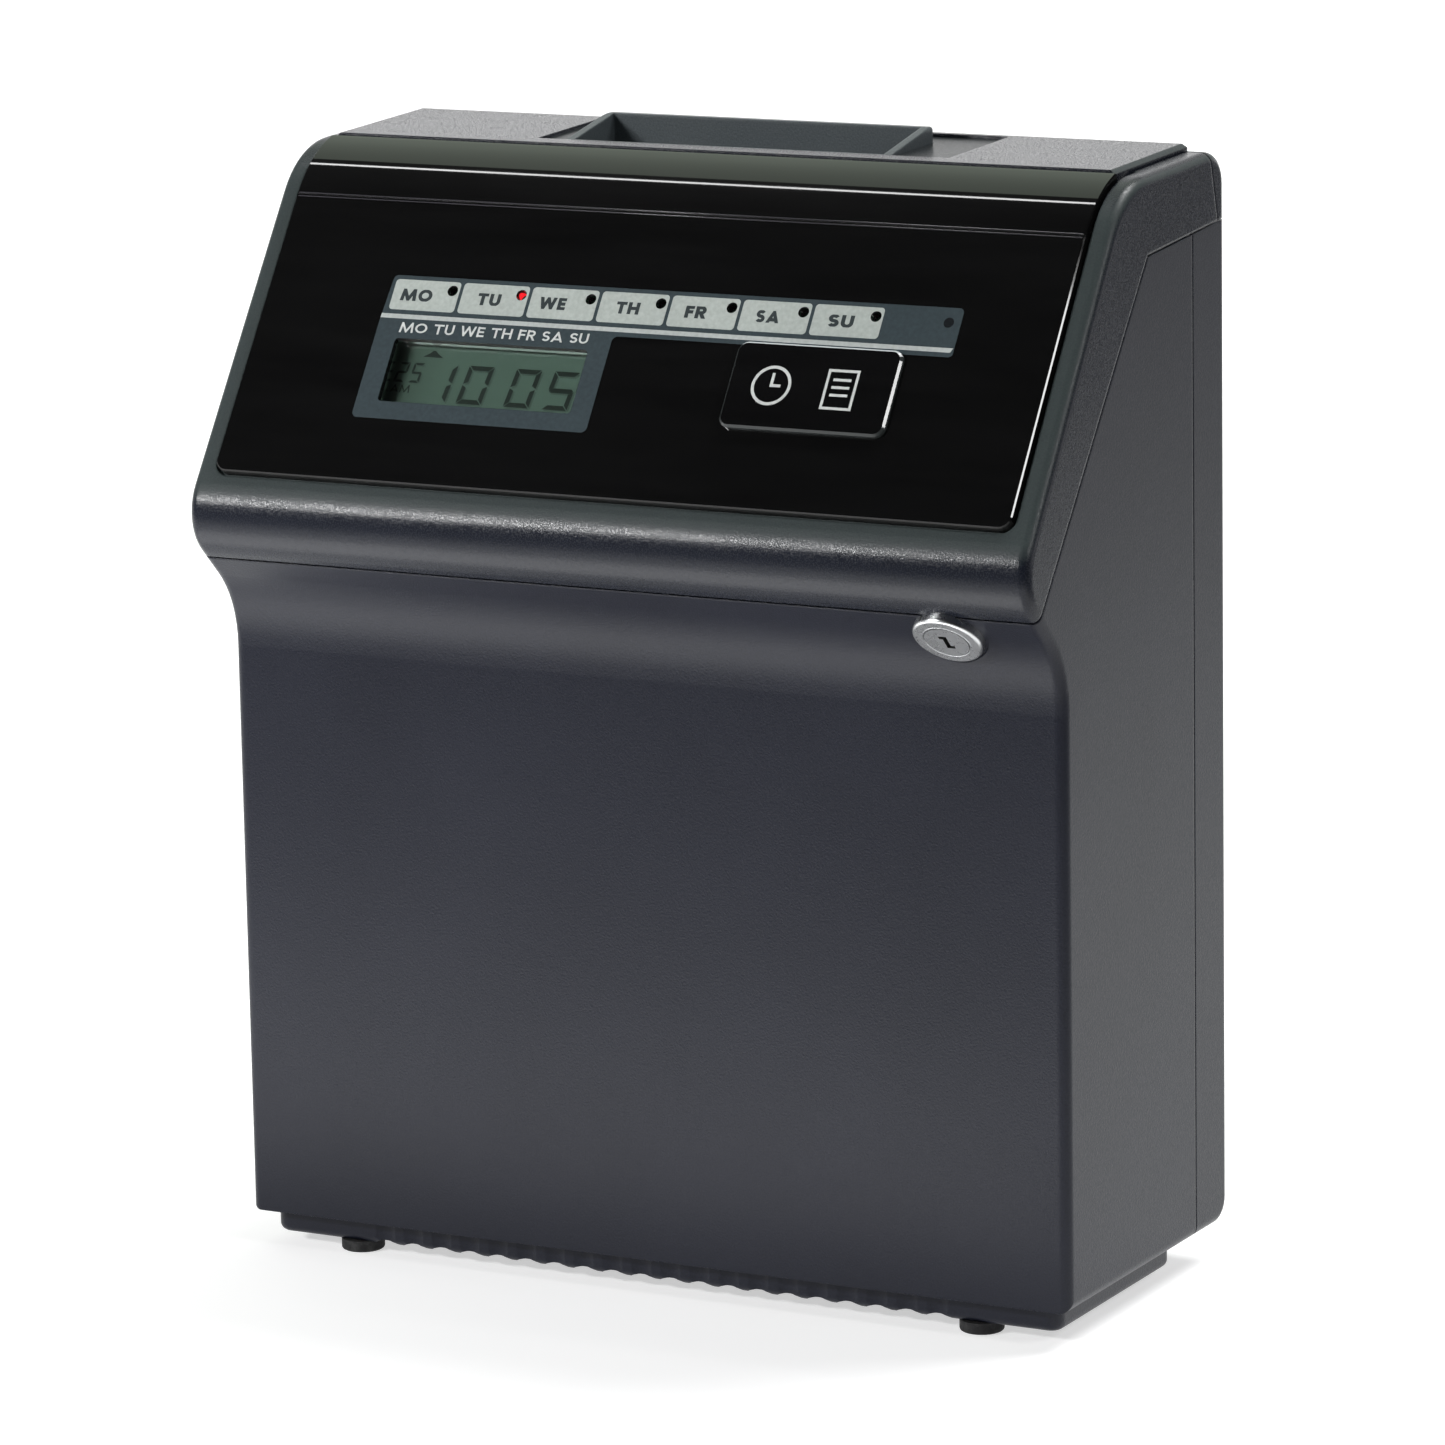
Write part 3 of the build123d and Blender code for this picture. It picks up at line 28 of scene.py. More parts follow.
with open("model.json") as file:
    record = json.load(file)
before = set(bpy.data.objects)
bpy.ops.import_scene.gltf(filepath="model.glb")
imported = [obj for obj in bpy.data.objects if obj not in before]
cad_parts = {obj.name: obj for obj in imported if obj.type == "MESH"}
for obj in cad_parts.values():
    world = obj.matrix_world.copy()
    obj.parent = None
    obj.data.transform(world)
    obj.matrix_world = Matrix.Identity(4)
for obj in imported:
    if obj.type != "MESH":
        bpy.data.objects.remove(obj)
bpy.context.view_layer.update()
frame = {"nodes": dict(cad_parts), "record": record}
NODES = frame["nodes"]
MM = 0.001

# ---- the sloping display face, read from the window's own mesh ---------------------------
SLOPE = math.radians(55.5)
ALONG = Vector((0, math.cos(SLOPE), math.sin(SLOPE)))      # up the slope
OUT = Vector((0, -math.sin(SLOPE), math.cos(SLOPE)))       # out of the slope
WINDOW_START = 3.5                                         # window's lower edge, mm up the slope


def reach(node, direction, top=True):
    """How far a node's mesh reaches along a direction."""
    values = [v.co.dot(direction) for v in NODES[node].data.vertices]
    return max(values) if top else min(values)


WINDOW_FACE = reach("display_window", OUT)
GLASS_FACE = reach("display_glass", OUT)
PLATE_FACE = reach("name_plate", OUT)
SLOPE_ZERO = reach("display_window", ALONG, top=False) - WINDOW_START * MM


def slope_matrix(face):
    """Takes millimetres (across, up the slope, out of it) to metres on a plane parallel to the slope."""
    origin = ALONG * SLOPE_ZERO + OUT * face
    m = Matrix.Identity(4)
    for row in range(3):
        m[row][0] = (1, 0, 0)[row] * MM
        m[row][1] = ALONG[row] * MM
        m[row][2] = OUT[row] * MM
        m[row][3] = origin[row]
    return m


# ---- node helpers --------------------------------------------------------------------------
class Nodes:
    """A material's node tree, with short calls for the nodes used here."""

    def __init__(self, name):
        self.material = bpy.data.materials.new(name)
        self.material.use_nodes = True
        self.tree = self.material.node_tree
        self.shader = self.tree.nodes["Principled BSDF"]
        self.output = self.tree.nodes["Material Output"]
        self.place = self.tree.nodes.new("ShaderNodeTexCoord").outputs["Object"]

    def add(self, kind, links=(), **settings):
        node = self.tree.nodes.new(kind)
        for key, value in settings.items():
            setattr(node, key, value)
        for socket, value in links:
            self.put(node.inputs[socket], value)
        return node

    def put(self, socket, value):
        if isinstance(value, bpy.types.NodeSocket):
            self.tree.links.new(value, socket)
        else:
            socket.default_value = value

    def noise(self, scale, detail=2.0, rough=0.5, place=None):
        links = (("Vector", place or self.place), ("Scale", scale), ("Detail", detail), ("Roughness", rough))
        return self.add("ShaderNodeTexNoise", links).outputs["Fac"]

    def voronoi(self, scale, feature="F1", place=None, output="Distance"):
        links = (("Vector", place or self.place), ("Scale", scale))
        return self.add("ShaderNodeTexVoronoi", links, feature=feature).outputs[output]

    def stretch(self, scale, place=None):
        return self.add("ShaderNodeMapping", (("Vector", place or self.place), ("Scale", scale))).outputs[0]

    def fit(self, value, low, high, new_low=0.0, new_high=1.0):
        links = ((0, value), (1, low), (2, high), (3, new_low), (4, new_high))
        return self.add("ShaderNodeMapRange", links).outputs[0]

    def ramp(self, value, low, high, new_low, new_high):
        """Like fit, but with a soft start and end."""
        links = ((0, value), (1, low), (2, high), (3, new_low), (4, new_high))
        return self.add("ShaderNodeMapRange", links, interpolation_type="SMOOTHSTEP").outputs[0]

    def scaled(self, tone, level):
        """A colour times a number."""
        return self.add("ShaderNodeVectorMath", ((0, tone), (3, level)), operation="SCALE").outputs[0]

    def wave(self, scale, axis, distortion=0.0):
        links = (("Vector", self.place), ("Scale", scale), ("Distortion", distortion))
        return self.add("ShaderNodeTexWave", links, bands_direction=axis).outputs["Fac"]

    def maths(self, operation, a, b=0.0):
        return self.add("ShaderNodeMath", ((0, a), (1, b)), operation=operation).outputs[0]

    def mix(self, amount, a, b):
        node = self.add("ShaderNodeMix", data_type="RGBA")
        for socket, value in ((0, amount), (6, a), (7, b)):
            self.put(node.inputs[socket], value)
        return node.outputs[2]

    def bump(self, height, strength, distance, normal=None):
        links = (("Height", height), ("Strength", strength), ("Distance", distance))
        node = self.add("ShaderNodeBump", links)
        if normal is not None:
            self.put(node.inputs["Normal"], normal)
        return node.outputs[0]

    def part(self, axis):
        return self.add("ShaderNodeSeparateXYZ", ((0, self.place),)).outputs[axis]

    def set(self, **values):
        for key, value in values.items():
            self.put(self.shader.inputs[key.replace("_", " ")], value)
        return self.material


def colour(r, g, b):
    return (r, g, b, 1.0)


# ---- materials -------------------------------------------------------------------------------
def moulded(name, dark, light, grain=2000.0, depth=0.00007, rough=(0.30, 0.38), shine=0.24, dust_and_painted_sheen=None):
    """Spark-textured moulding: fine grain that sparkles, slight tone drift, a painted highlight along its
    edges, and, when asked, a painted sheen on slopes that face up.
    """
    n = Nodes(name)
    drift = n.noise(14.0, 3.0)
    fine = n.noise(grain, 3.0, 0.6)
    cells = n.voronoi(grain * 0.8, "SMOOTH_F1")
    tone = n.mix(n.fit(drift, 0.35, 0.65), dark, light)
    pits = n.fit(fine, 0.3, 0.7, 0.78, 1.2)
    bevel = n.add("ShaderNodeBevel", (("Radius", 0.0009),), samples=4)
    true_normal = n.add("ShaderNodeNewGeometry").outputs["Normal"]
    along = n.add("ShaderNodeVectorMath", ((0, bevel.outputs[0]), (1, true_normal)), operation="DOT_PRODUCT")
    edge = n.fit(along.outputs["Value"], 0.985, 0.80)
    # edges are painted lighter and a little glossier, varied by noise: a painted highlight along every edge
    edge_highlight = n.maths("MULTIPLY", edge, n.fit(n.noise(220.0, 4.0), 0.35, 0.7, 0.15, 0.8))
    pale = tuple(min(1, c * 2.2) for c in light[:3]) + (1,)
    lifted = n.mix(n.maths("MULTIPLY", edge_highlight, 0.5), n.scaled(tone, pits), pale)
    height = n.maths("ADD", fine, n.maths("MULTIPLY", cells, 0.5))
    spark = n.fit(n.noise(grain * 1.25, 0.0), 0.36, 0.64, *rough)
    rough_now = n.maths("SUBTRACT", spark, n.maths("MULTIPLY", edge_highlight, 0.06))
    if dust_and_painted_sheen is not None:
        # slopes that face up are painted lighter and made rougher: a painted sheen of the light from above
        rise = n.add("ShaderNodeSeparateXYZ", ((0, true_normal),)).outputs["Z"]
        slope = n.maths("MULTIPLY", n.fit(rise, 0.20, 0.50), n.fit(rise, 0.90, 0.70))
        lifted = n.mix(n.maths("MULTIPLY", slope, n.fit(fine, 0.3, 0.7, 0.6, 0.95)), lifted, dust_and_painted_sheen)
        rough_now = n.maths("ADD", rough_now, n.maths("MULTIPLY", slope, 0.2))
    return n.set(Base_Color=lifted, Roughness=rough_now, IOR=1.5, Specular_IOR_Level=shine,
                 Normal=n.bump(height, 0.9, depth, bevel.outputs[0]))


def polished(name, base, smear=0.03, rough=0.03, ior=1.49):
    """Polished acrylic with faint wiping marks."""
    n = Nodes(name)
    wipe = n.noise(40.0, 5.0, 0.65, n.stretch((0.35, 3.0, 3.0)))
    dust_and_painted_sheen = n.fit(n.voronoi(900.0), 0.0, 0.05, 0.12, 0.0)
    film = n.maths("ADD", n.fit(wipe, 0.4, 0.75, rough, rough + smear), dust_and_painted_sheen)
    tone = n.mix(n.fit(wipe, 0.3, 0.8), base, tuple(c * 1.5 + 0.0015 for c in base[:3]) + (1,))
    return n.set(Base_Color=tone, Roughness=film, IOR=ior,
                 Normal=n.bump(n.noise(16.0, 1.0), 0.05, 0.0004))


def printed(name, base, rough=0.14):
    """Screen-printed ink under a clear coat."""
    n = Nodes(name)
    mottle = n.fit(n.noise(900.0, 3.0), 0.3, 0.7, 0.9, 1.08)
    screen = n.fit(n.noise(60.0, 2.0), 0.3, 0.7, 0.96, 1.03)
    tone = n.scaled(base[:3], n.maths("MULTIPLY", mottle, screen))
    return n.set(Base_Color=tone, Roughness=n.fit(n.noise(1500.0), 0.3, 0.7, rough, rough + 0.08),
                 Normal=n.bump(n.noise(2500.0), 0.1, 0.00001))


def clear(name, tint, gloss=0.04):
    """Clear moulding: lets light straight through and mirrors the lamps at its surface."""
    n = Nodes(name)
    n.tree.nodes.remove(n.shader)
    haze = n.fit(n.noise(120.0, 4.0), 0.3, 0.8, gloss, gloss + 0.05)
    through = n.add("ShaderNodeBsdfTransparent", (("Color", tint),))
    shine = n.add("ShaderNodeBsdfGlossy", (("Roughness", haze), ("Color", (1, 1, 1, 1))))
    fresnel = n.add("ShaderNodeFresnel", (("IOR", 1.45),))
    links = ((0, fresnel.outputs[0]), (1, through.outputs[0]), (2, shine.outputs[0]))
    mixed = n.add("ShaderNodeMixShader", links)
    n.tree.links.new(mixed.outputs[0], n.output.inputs["Surface"])
    return n.material


def metal(name, base, rough=(0.22, 0.36), brush=(1.0, 40.0, 40.0), scale=60.0, depth=0.000012, mottle=0.12):
    """Plated or ground steel with brushing marks and a slightly uneven tone."""
    n = Nodes(name)
    lines = n.noise(scale, 5.0, 0.7, n.stretch(brush))
    patch = n.noise(70.0, 3.0)
    low, high = 1.0 - mottle, 1.0 + mottle * 0.5
    tone = n.scaled(base[:3], n.fit(patch, 0.3, 0.7, low, high))
    both = n.maths("ADD", n.maths("MULTIPLY", lines, 0.7), n.maths("MULTIPLY", patch, 0.3))
    return n.set(Base_Color=tone, Metallic=1.0, Roughness=n.fit(both, 0.3, 0.7, *rough),
                 Normal=n.bump(lines, 0.5, depth))


def zinc(name, base):
    """Bright zinc plate on sheet steel, with soft spangle and rolling marks."""
    n = Nodes(name)
    spangle = n.voronoi(130.0, "F1", output="Color")
    grey = n.add("ShaderNodeRGBToBW", ((0, spangle),)).outputs[0]
    rolled = n.noise(50.0, 6.0, 0.7, n.stretch((1.0, 1.0, 18.0)))
    level = n.maths("ADD", n.fit(grey, 0.0, 1.0, -0.05, 0.05), n.fit(rolled, 0.3, 0.7, 0.9, 1.04))
    tone = n.scaled(base[:3], level)
    rough = n.maths("ADD", n.fit(grey, 0.0, 1.0, 0.30, 0.40), n.fit(rolled, 0.3, 0.7, -0.03, 0.06))
    return n.set(Base_Color=tone, Metallic=1.0, Roughness=rough, Normal=n.bump(rolled, 0.35, 0.00002))


def satin(name, base, rough=(0.34, 0.5), grain=1400.0, depth=0.00003, spread=0.15, shine=0.5):
    """Plain engineering plastic: satin, faint flow marks and fine grain."""
    n = Nodes(name)
    flow = n.noise(26.0, 4.0, 0.6, n.stretch((1.0, 2.2, 0.7)))
    fine = n.noise(grain, 3.0)
    tone = n.scaled(base[:3], n.fit(flow, 0.3, 0.7, 1 - spread, 1 + spread))
    return n.set(Base_Color=tone, Roughness=n.fit(fine, 0.3, 0.7, *rough), Specular_IOR_Level=shine,
                 Normal=n.bump(fine, 0.5, depth))


def rubbery(name, base, rough=(0.68, 0.85)):
    """Matt rubber with dusty high spots."""
    n = Nodes(name)
    dust_and_painted_sheen = n.fit(n.noise(300.0, 5.0, 0.7), 0.45, 0.75)
    fine = n.noise(1800.0, 3.0)
    tone = n.mix(n.maths("MULTIPLY", dust_and_painted_sheen, 0.25), base, (0.16, 0.16, 0.155, 1))
    return n.set(Base_Color=tone, Roughness=n.fit(fine, 0.3, 0.7, *rough), Specular_IOR_Level=0.3,
                 Normal=n.bump(fine, 0.6, 0.00006))


def liquid_crystal(name):
    """Reflective display glass: a soft grey-green field, with painted shade darkening its left end."""
    n = Nodes(name)
    cloud = n.noise(22.0, 2.0)
    fine = n.noise(4200.0, 2.0)
    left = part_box("display_glass")[0].x
    across = n.fit(n.part("X"), left, left + LCD_SHADE_WIDTH * MM)
    tone = n.mix(across, LCD_PAINTED_SHADE, LCD_GREEN)
    level = n.maths("MULTIPLY", n.fit(cloud, 0.3, 0.7, 0.93, 1.07), n.fit(fine, 0.3, 0.7, 0.96, 1.04))
    return n.set(Base_Color=n.scaled(tone, level), Roughness=n.fit(fine, 0.3, 0.7, 0.3, 0.4),
                 Normal=n.bump(fine, 0.1, 0.00001))


def board(name):
    """Solder mask over copper tracks, with bright pads."""
    n = Nodes(name)
    grid = n.voronoi(240.0, "DISTANCE_TO_EDGE", n.stretch((1.0, 1.0, 0.25)))
    tracks = n.fit(grid, 0.05, 0.09, 1.0, 0.0)
    pads = n.fit(n.voronoi(330.0), 0.10, 0.14, 1.0, 0.0)
    mask = n.mix(n.fit(n.noise(30.0, 3.0), 0.3, 0.7), (0.010, 0.085, 0.035, 1), (0.016, 0.12, 0.05, 1))
    lined = n.mix(tracks, mask, (0.03, 0.20, 0.075, 1))
    tone = n.mix(pads, lined, (0.55, 0.55, 0.5, 1))
    return n.set(Base_Color=tone, Metallic=n.maths("MULTIPLY", pads, 0.9),
                 Roughness=n.fit(pads, 0, 1, 0.28, 0.35),
                 Normal=n.bump(n.maths("ADD", tracks, pads), 0.5, 0.00004))


def lamp(name, lit_x):
    """Red lamp bodies: one of them is lit."""
    n = Nodes(name)
    near = n.maths("ABSOLUTE", n.maths("SUBTRACT", n.part("X"), lit_x))
    on = n.fit(near, LAMP_REACH[0], LAMP_REACH[1], 1.0, 0.0)
    flow = n.noise(400.0, 3.0)
    off_tone = n.mix(flow, (0.018, 0.012, 0.012, 1), (0.035, 0.016, 0.015, 1))
    tone = n.mix(on, off_tone, (0.75, 0.02, 0.02, 1))
    n.set(Emission_Color=n.mix(on, (0.0, 0.0, 0.0, 1), (1.0, 0.02, 0.03, 1)),
          Emission_Strength=n.maths("MULTIPLY", on, LAMP_POWER))
    return n.set(Base_Color=tone, Roughness=n.fit(flow, 0.3, 0.7, 0.1, 0.2))


def winding(name):
    """Laminated core with taped coils."""
    n = Nodes(name)
    low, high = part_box("transformer")
    inside = n.maths("ABSOLUTE", n.maths("SUBTRACT", n.part("Y"), (low.y + high.y) / 2))
    coil = n.fit(inside, CORE_EDGE[0], CORE_EDGE[1])
    sheets = n.wave(320.0, "Y", 0.6)
    core = n.mix(n.fit(sheets, 0.2, 0.8), (0.05, 0.05, 0.055, 1), (0.20, 0.20, 0.21, 1))
    tape = n.mix(n.noise(90.0, 3.0, 0.6, n.stretch((1, 1, 8))), (0.55, 0.36, 0.03, 1), (0.72, 0.52, 0.07, 1))
    return n.set(Base_Color=n.mix(coil, core, tape), Roughness=n.fit(n.noise(500.0), 0.3, 0.7, 0.32, 0.5),
                 Metallic=n.fit(coil, 0, 1, 0.6, 0.0), Normal=n.bump(sheets, 0.4, 0.0001))


def cloth(name):
    """Inked woven nylon ribbon."""
    n = Nodes(name)
    weave = n.maths("MAXIMUM", n.wave(900.0, "X"), n.wave(900.0, "Z"))
    tone = n.mix(weave, (0.010, 0.004, 0.018, 1), (0.045, 0.016, 0.075, 1))
    return n.set(Base_Color=tone, Roughness=n.fit(weave, 0, 1, 0.9, 0.65), Sheen_Weight=0.3,
                 Normal=n.bump(weave, 0.5, 0.00008))


LCD_GREEN = (0.122, 0.176, 0.148, 1)
LCD_PAINTED_SHADE = (0.078, 0.110, 0.092, 1)
LCD_SHADE_WIDTH = 16.0                         # width of the painted shade at the left end, mm
LAMP_POWER = 3.0
LAMP_REACH = (0.004, 0.005)             # the lit lamp ends between these distances from its middle, m
CORE_EDGE = (0.0189, 0.0191)            # where the transformer's core gives way to its coil, m
LAMP_X0, LAMP_PITCH, LAMP_S, LAMP_R = -61.3, 21.1, 60.4, 1.55      # the day lamps' holes, mm
CASE_DARK = colour(0.0085, 0.0098, 0.0172)
CASE_LIGHT = colour(0.0110, 0.0125, 0.0210)
BEZEL_DARK = colour(0.0105, 0.0124, 0.0190)
BEZEL_LIGHT = colour(0.0135, 0.0156, 0.0232)
LIT_LAMP_X = (LAMP_X0 + LAMP_PITCH) * MM

case_skin = moulded("case_plastic", CASE_DARK, CASE_LIGHT)
# the bezel's upward slopes carry a painted greenish sheen
bezel_skin = moulded("bezel_plastic", BEZEL_DARK, BEZEL_LIGHT, depth=0.00004, rough=(0.15, 0.33),
                     shine=0.28, dust_and_painted_sheen=colour(0.046, 0.060, 0.059))
throat_skin = moulded("throat_plastic", colour(0.062, 0.074, 0.081), colour(0.075, 0.088, 0.095))
window_skin = polished("window_black", colour(0.0032, 0.0032, 0.0033))
plate_skin = polished("plate_face", colour(0.0028, 0.0028, 0.0030), smear=0.015, rough=0.02)
plate_edge_highlight = polished("plate_edge_highlight", colour(0.030, 0.034, 0.034), smear=0.02, rough=0.12)
plate_top_highlight = polished("plate_top_highlight", colour(0.42, 0.45, 0.46), smear=0.02, rough=0.10)
lens_skin = clear("clear_lens", (0.93, 0.97, 0.95, 1))
lamp_skin = clear("lamp_clear", (0.62, 0.64, 0.64, 1), gloss=0.06)
PLATED = {"rough": (0.24, 0.32), "brush": (1, 1, 1), "depth": 0.000005}
nickel_skin = metal("nickel", (0.62, 0.63, 0.64), scale=900.0, **PLATED)
plug_skin = metal("nickel_plug", (0.60, 0.61, 0.62), scale=700.0, **PLATED)
zinc_skin = zinc("zinc_steel", (0.62, 0.63, 0.62))
shaft_skin = metal("ground_steel", (0.66, 0.66, 0.66), rough=(0.12, 0.24), brush=(60, 1, 1), scale=90.0)
motor_skin = metal("motor_steel", (0.47, 0.47, 0.46), rough=(0.3, 0.42), brush=(1, 20, 1), scale=80.0)
brass_skin = metal("brass_gear", (0.68, 0.48, 0.19), rough=(0.2, 0.34), brush=(40, 1, 1), scale=100.0)
rubber_skin = rubbery("rubber", colour(0.014, 0.014, 0.015))
roller_skin = rubbery("roller_rubber", colour(0.035, 0.035, 0.037), rough=(0.55, 0.7))
black_skin = satin("black_plastic", (0.012, 0.012, 0.013))
white_skin = satin("white_plastic", (0.66, 0.64, 0.58), spread=0.05)
part_skin = satin("component", (0.022, 0.022, 0.024), rough=(0.4, 0.6), spread=0.3)
battery_skin = satin("battery_wrap", (0.03, 0.16, 0.07), rough=(0.2, 0.3), spread=0.1)

SKINS = {
    "case_plastic": case_skin, "window_black": window_skin, "clear_lens": lens_skin,
    "lamp_clear": lamp_skin, "name_plate": plate_skin, "nickel": nickel_skin, "nickel_plug": plug_skin,
    "zinc_steel": zinc_skin, "ground_steel": shaft_skin, "rubber": rubber_skin,
    "roller_rubber": roller_skin, "black_plastic": black_skin, "white_plastic": white_skin,
    "lcd_glass": liquid_crystal("lcd_glass"), "circuit_board": board("circuit_board"),
    "component": part_skin, "lamp_red": lamp("lamp_red", LIT_LAMP_X), "motor_steel": motor_skin,
    "winding": winding("winding"), "battery_wrap": battery_skin, "ribbon_cloth": cloth("ribbon_cloth"),
    "brass_gear": brass_skin,
}
for node, thing in NODES.items():
    old = thing.data.materials[0].name.split(".")[0]
    thing.data.materials[0] = SKINS[old]
for node in ("upper_bezel", "top_deck"):
    NODES[node].data.materials[0] = bezel_skin
NODES["card_throat"].data.materials[0] = throat_skin

# the name plate is clear over black: its rim is painted lighter, a painted highlight that is brightest along
# the top
plate = NODES["name_plate"].data
plate.materials.append(plate_edge_highlight)
plate.materials.append(plate_top_highlight)
for face in plate.polygons:
    level = abs(face.normal.dot(OUT)) > 0.98
    face.material_index = 0 if level else 2 if face.normal.dot(ALONG) > 0.5 else 1

# the window's lower bevel is dull
window_edge = satin("window_edge", (0.006, 0.006, 0.006), rough=(0.5, 0.6))
window = NODES["display_window"].data
window.materials.append(window_edge)
for face in window.polygons:
    face.material_index = 1 if face.normal.dot(ALONG) < -0.3 else 0

# the card recess has a smoother floor than the deck round it
recess_skin = satin("recess_plastic", (0.020, 0.023, 0.026), rough=(0.26, 0.34), shine=0.12)
RECESS_DROP = (0.5 * MM, 1.5 * MM)      # how far below the deck's top its floor may lie
deck = NODES["top_deck"].data
deck.materials.append(recess_skin)
level_faces = [face for face in deck.polygons if face.normal.z > 0.99]
DECK_UP = max(level_faces, key=lambda face: face.area).normal.copy()
deck_plane = max(face.center.dot(DECK_UP) for face in deck.polygons if face.normal.dot(DECK_UP) > 0.9999)
for face in deck.polygons:
    drop = deck_plane - face.center.dot(DECK_UP)
    if face.normal.dot(DECK_UP) > 0.999 and RECESS_DROP[0] < drop < RECESS_DROP[1]:
        face.material_index = 1

# the keyway looks black: its walls are painted black, a painted shade for the deep slot
keyway_skin = satin("keyway_painted_shade", (0.004, 0.004, 0.004), rough=(0.6, 0.7))
lock_joint = next(j for j in frame["record"]["behaviour"]["joints"] if j["name"] == "lock_turn")
LOCK_AXIS = -Vector(lock_joint["axis"])
LOCK_PLACE = Vector(lock_joint["pos_m"])
KEYWAY_R = 3.4 * MM                     # the keyway's walls lie nearer the axis than this
KEYWAY_SUNK = (0.05 * MM, 12 * MM)      # and between these depths below the plug's face
plug = NODES["lock_plug"].data
plug.materials.append(keyway_skin)
plug_face = reach("lock_plug", LOCK_AXIS)
for face in plug.polygons:
    offset = face.center - LOCK_PLACE
    radius = (offset - LOCK_AXIS * offset.dot(LOCK_AXIS)).length
    sunk = plug_face - face.center.dot(LOCK_AXIS)
    if radius < KEYWAY_R and KEYWAY_SUNK[0] < sunk < KEYWAY_SUNK[1]:
        face.material_index = 1


# ---- flat printed shapes on the sloping face ------------------------------------------------
ARC_STEPS = 6


def rounded(corners):
    """Closed outline of (x, y, radius) corners, each radius a smooth arc, turned either way."""
    points = []
    count = len(corners)
    for i in range(count):
        x, y, r = corners[i]
        p = Vector((x, y))
        before = (Vector(corners[i - 1][:2]) - p).normalized()
        after = (Vector(corners[(i + 1) % count][:2]) - p).normalized()
        if r == 0:
            points.append(p)
            continue
        half = before.angle(after) / 2
        centre = p + (before + after).normalized() * (r / math.sin(half))
        start = p + before * (r / math.tan(half)) - centre
        end = p + after * (r / math.tan(half)) - centre
        turn = start.angle_signed(end)
        for k in range(ARC_STEPS + 1):
            c, s = math.cos(-turn * k / ARC_STEPS), math.sin(-turn * k / ARC_STEPS)
            points.append(centre + Vector((start.x * c - start.y * s, start.x * s + start.y * c)))
    return points


def box2(x0, y0, x1, y1, r):
    return rounded([(x0, y0, r), (x1, y0, r), (x1, y1, r), (x0, y1, r)])


def ring(x, y, r, steps=32):
    return [Vector((x + r * math.cos(2 * math.pi * i / steps), y + r * math.sin(2 * math.pi * i / steps)))
            for i in range(steps)]


def finish_piece(name, mesh, matrix, material, body):
    mesh.transform(matrix)
    mesh.materials.clear()
    mesh.materials.append(material)
    piece = bpy.data.objects.new(name, mesh)
    bpy.context.scene.collection.objects.link(piece)
    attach(piece, body)
    return piece


def curve_mesh(curve):
    holder = bpy.data.objects.new("holder", curve)
    bpy.context.scene.collection.objects.link(holder)
    bpy.context.view_layer.update()
    mesh = bpy.data.meshes.new_from_object(holder.evaluated_get(bpy.context.evaluated_depsgraph_get()))
    bpy.data.objects.remove(holder)
    return mesh


def flat(name, outlines, layer, face, material, body):
    """A thin slab filling the outlines, holes included, in a layer from low to high mm above the face."""
    low, high = layer
    curve = bpy.data.curves.new(name, "CURVE")
    curve.dimensions = "2D"
    curve.fill_mode = "BOTH"
    curve.extrude = (high - low) / 2
    for outline in outlines:
        spline = curve.splines.new("POLY")
        spline.points.add(len(outline) - 1)
        for point, p in zip(spline.points, outline):
            point.co = (p.x, p.y, 0, 1)
        spline.use_cyclic_u = True
    mesh = curve_mesh(curve)
    matrix = slope_matrix(face) @ Matrix.Translation((0, 0, (low + high) / 2))
    return finish_piece(name, mesh, matrix, material, body)


def arc(x, y, rx, ry, start, end, steps=14):
    turns = [math.radians(start + (end - start) * i / steps) for i in range(steps + 1)]
    return [(x + rx * math.cos(v), y + ry * math.sin(v)) for v in turns]


# centre lines of the capitals used, in a cell one unit high
LETTERS = {
    "M": [[(0.11, -0.2), (0.22, 0.93), (0.62, 0.10), (1.02, 0.93), (1.13, -0.2)]],
    "O": [arc(0.52, 0.5, 0.41, 0.39, 0, 360, 28)],
    "T": [[(0.40, -0.1), (0.40, 0.86)], [(0.0, 0.89), (0.80, 0.89)]],
    "U": [[(0.12, 1.2)] + arc(0.41, 0.38, 0.29, 0.28, 180, 360) + [(0.70, 1.2)]],
    "W": [[(0.06, 1.2), (0.34, 0.08), (0.65, 0.90), (0.96, 0.08), (1.24, 1.2)]],
    "E": [[(0.12, -0.1), (0.12, 1.1)], [(0.12, 0.89), (0.62, 0.89)], [(0.12, 0.5), (0.58, 0.5)],
          [(0.12, 0.11), (0.62, 0.11)]],
    "H": [[(0.12, -0.1), (0.12, 1.1)], [(0.74, -0.1), (0.74, 1.1)], [(0.12, 0.5), (0.74, 0.5)]],
    "F": [[(0.12, -0.1), (0.12, 1.1)], [(0.12, 0.89), (0.60, 0.89)], [(0.12, 0.5), (0.56, 0.5)]],
    "R": [[(0.12, -0.1), (0.12, 1.1)], [(0.12, 0.89)] + arc(0.40, 0.68, 0.21, 0.21, 90, -90) + [(0.12, 0.47)],
          [(0.36, 0.47), (0.72, -0.14)]],
    "S": [arc(0.34, 0.695, 0.23, 0.195, 25, 270) + arc(0.34, 0.305, 0.23, 0.195, 90, -155)[1:]],
    "A": [[(0.02, -0.2), (0.49, 0.90), (0.96, -0.2)], [(0.22, 0.26), (0.76, 0.26)]],
}
LETTER_GAP = 0.13
WORD_GAP = 0.42
STROKE_LIFT = 0.0015


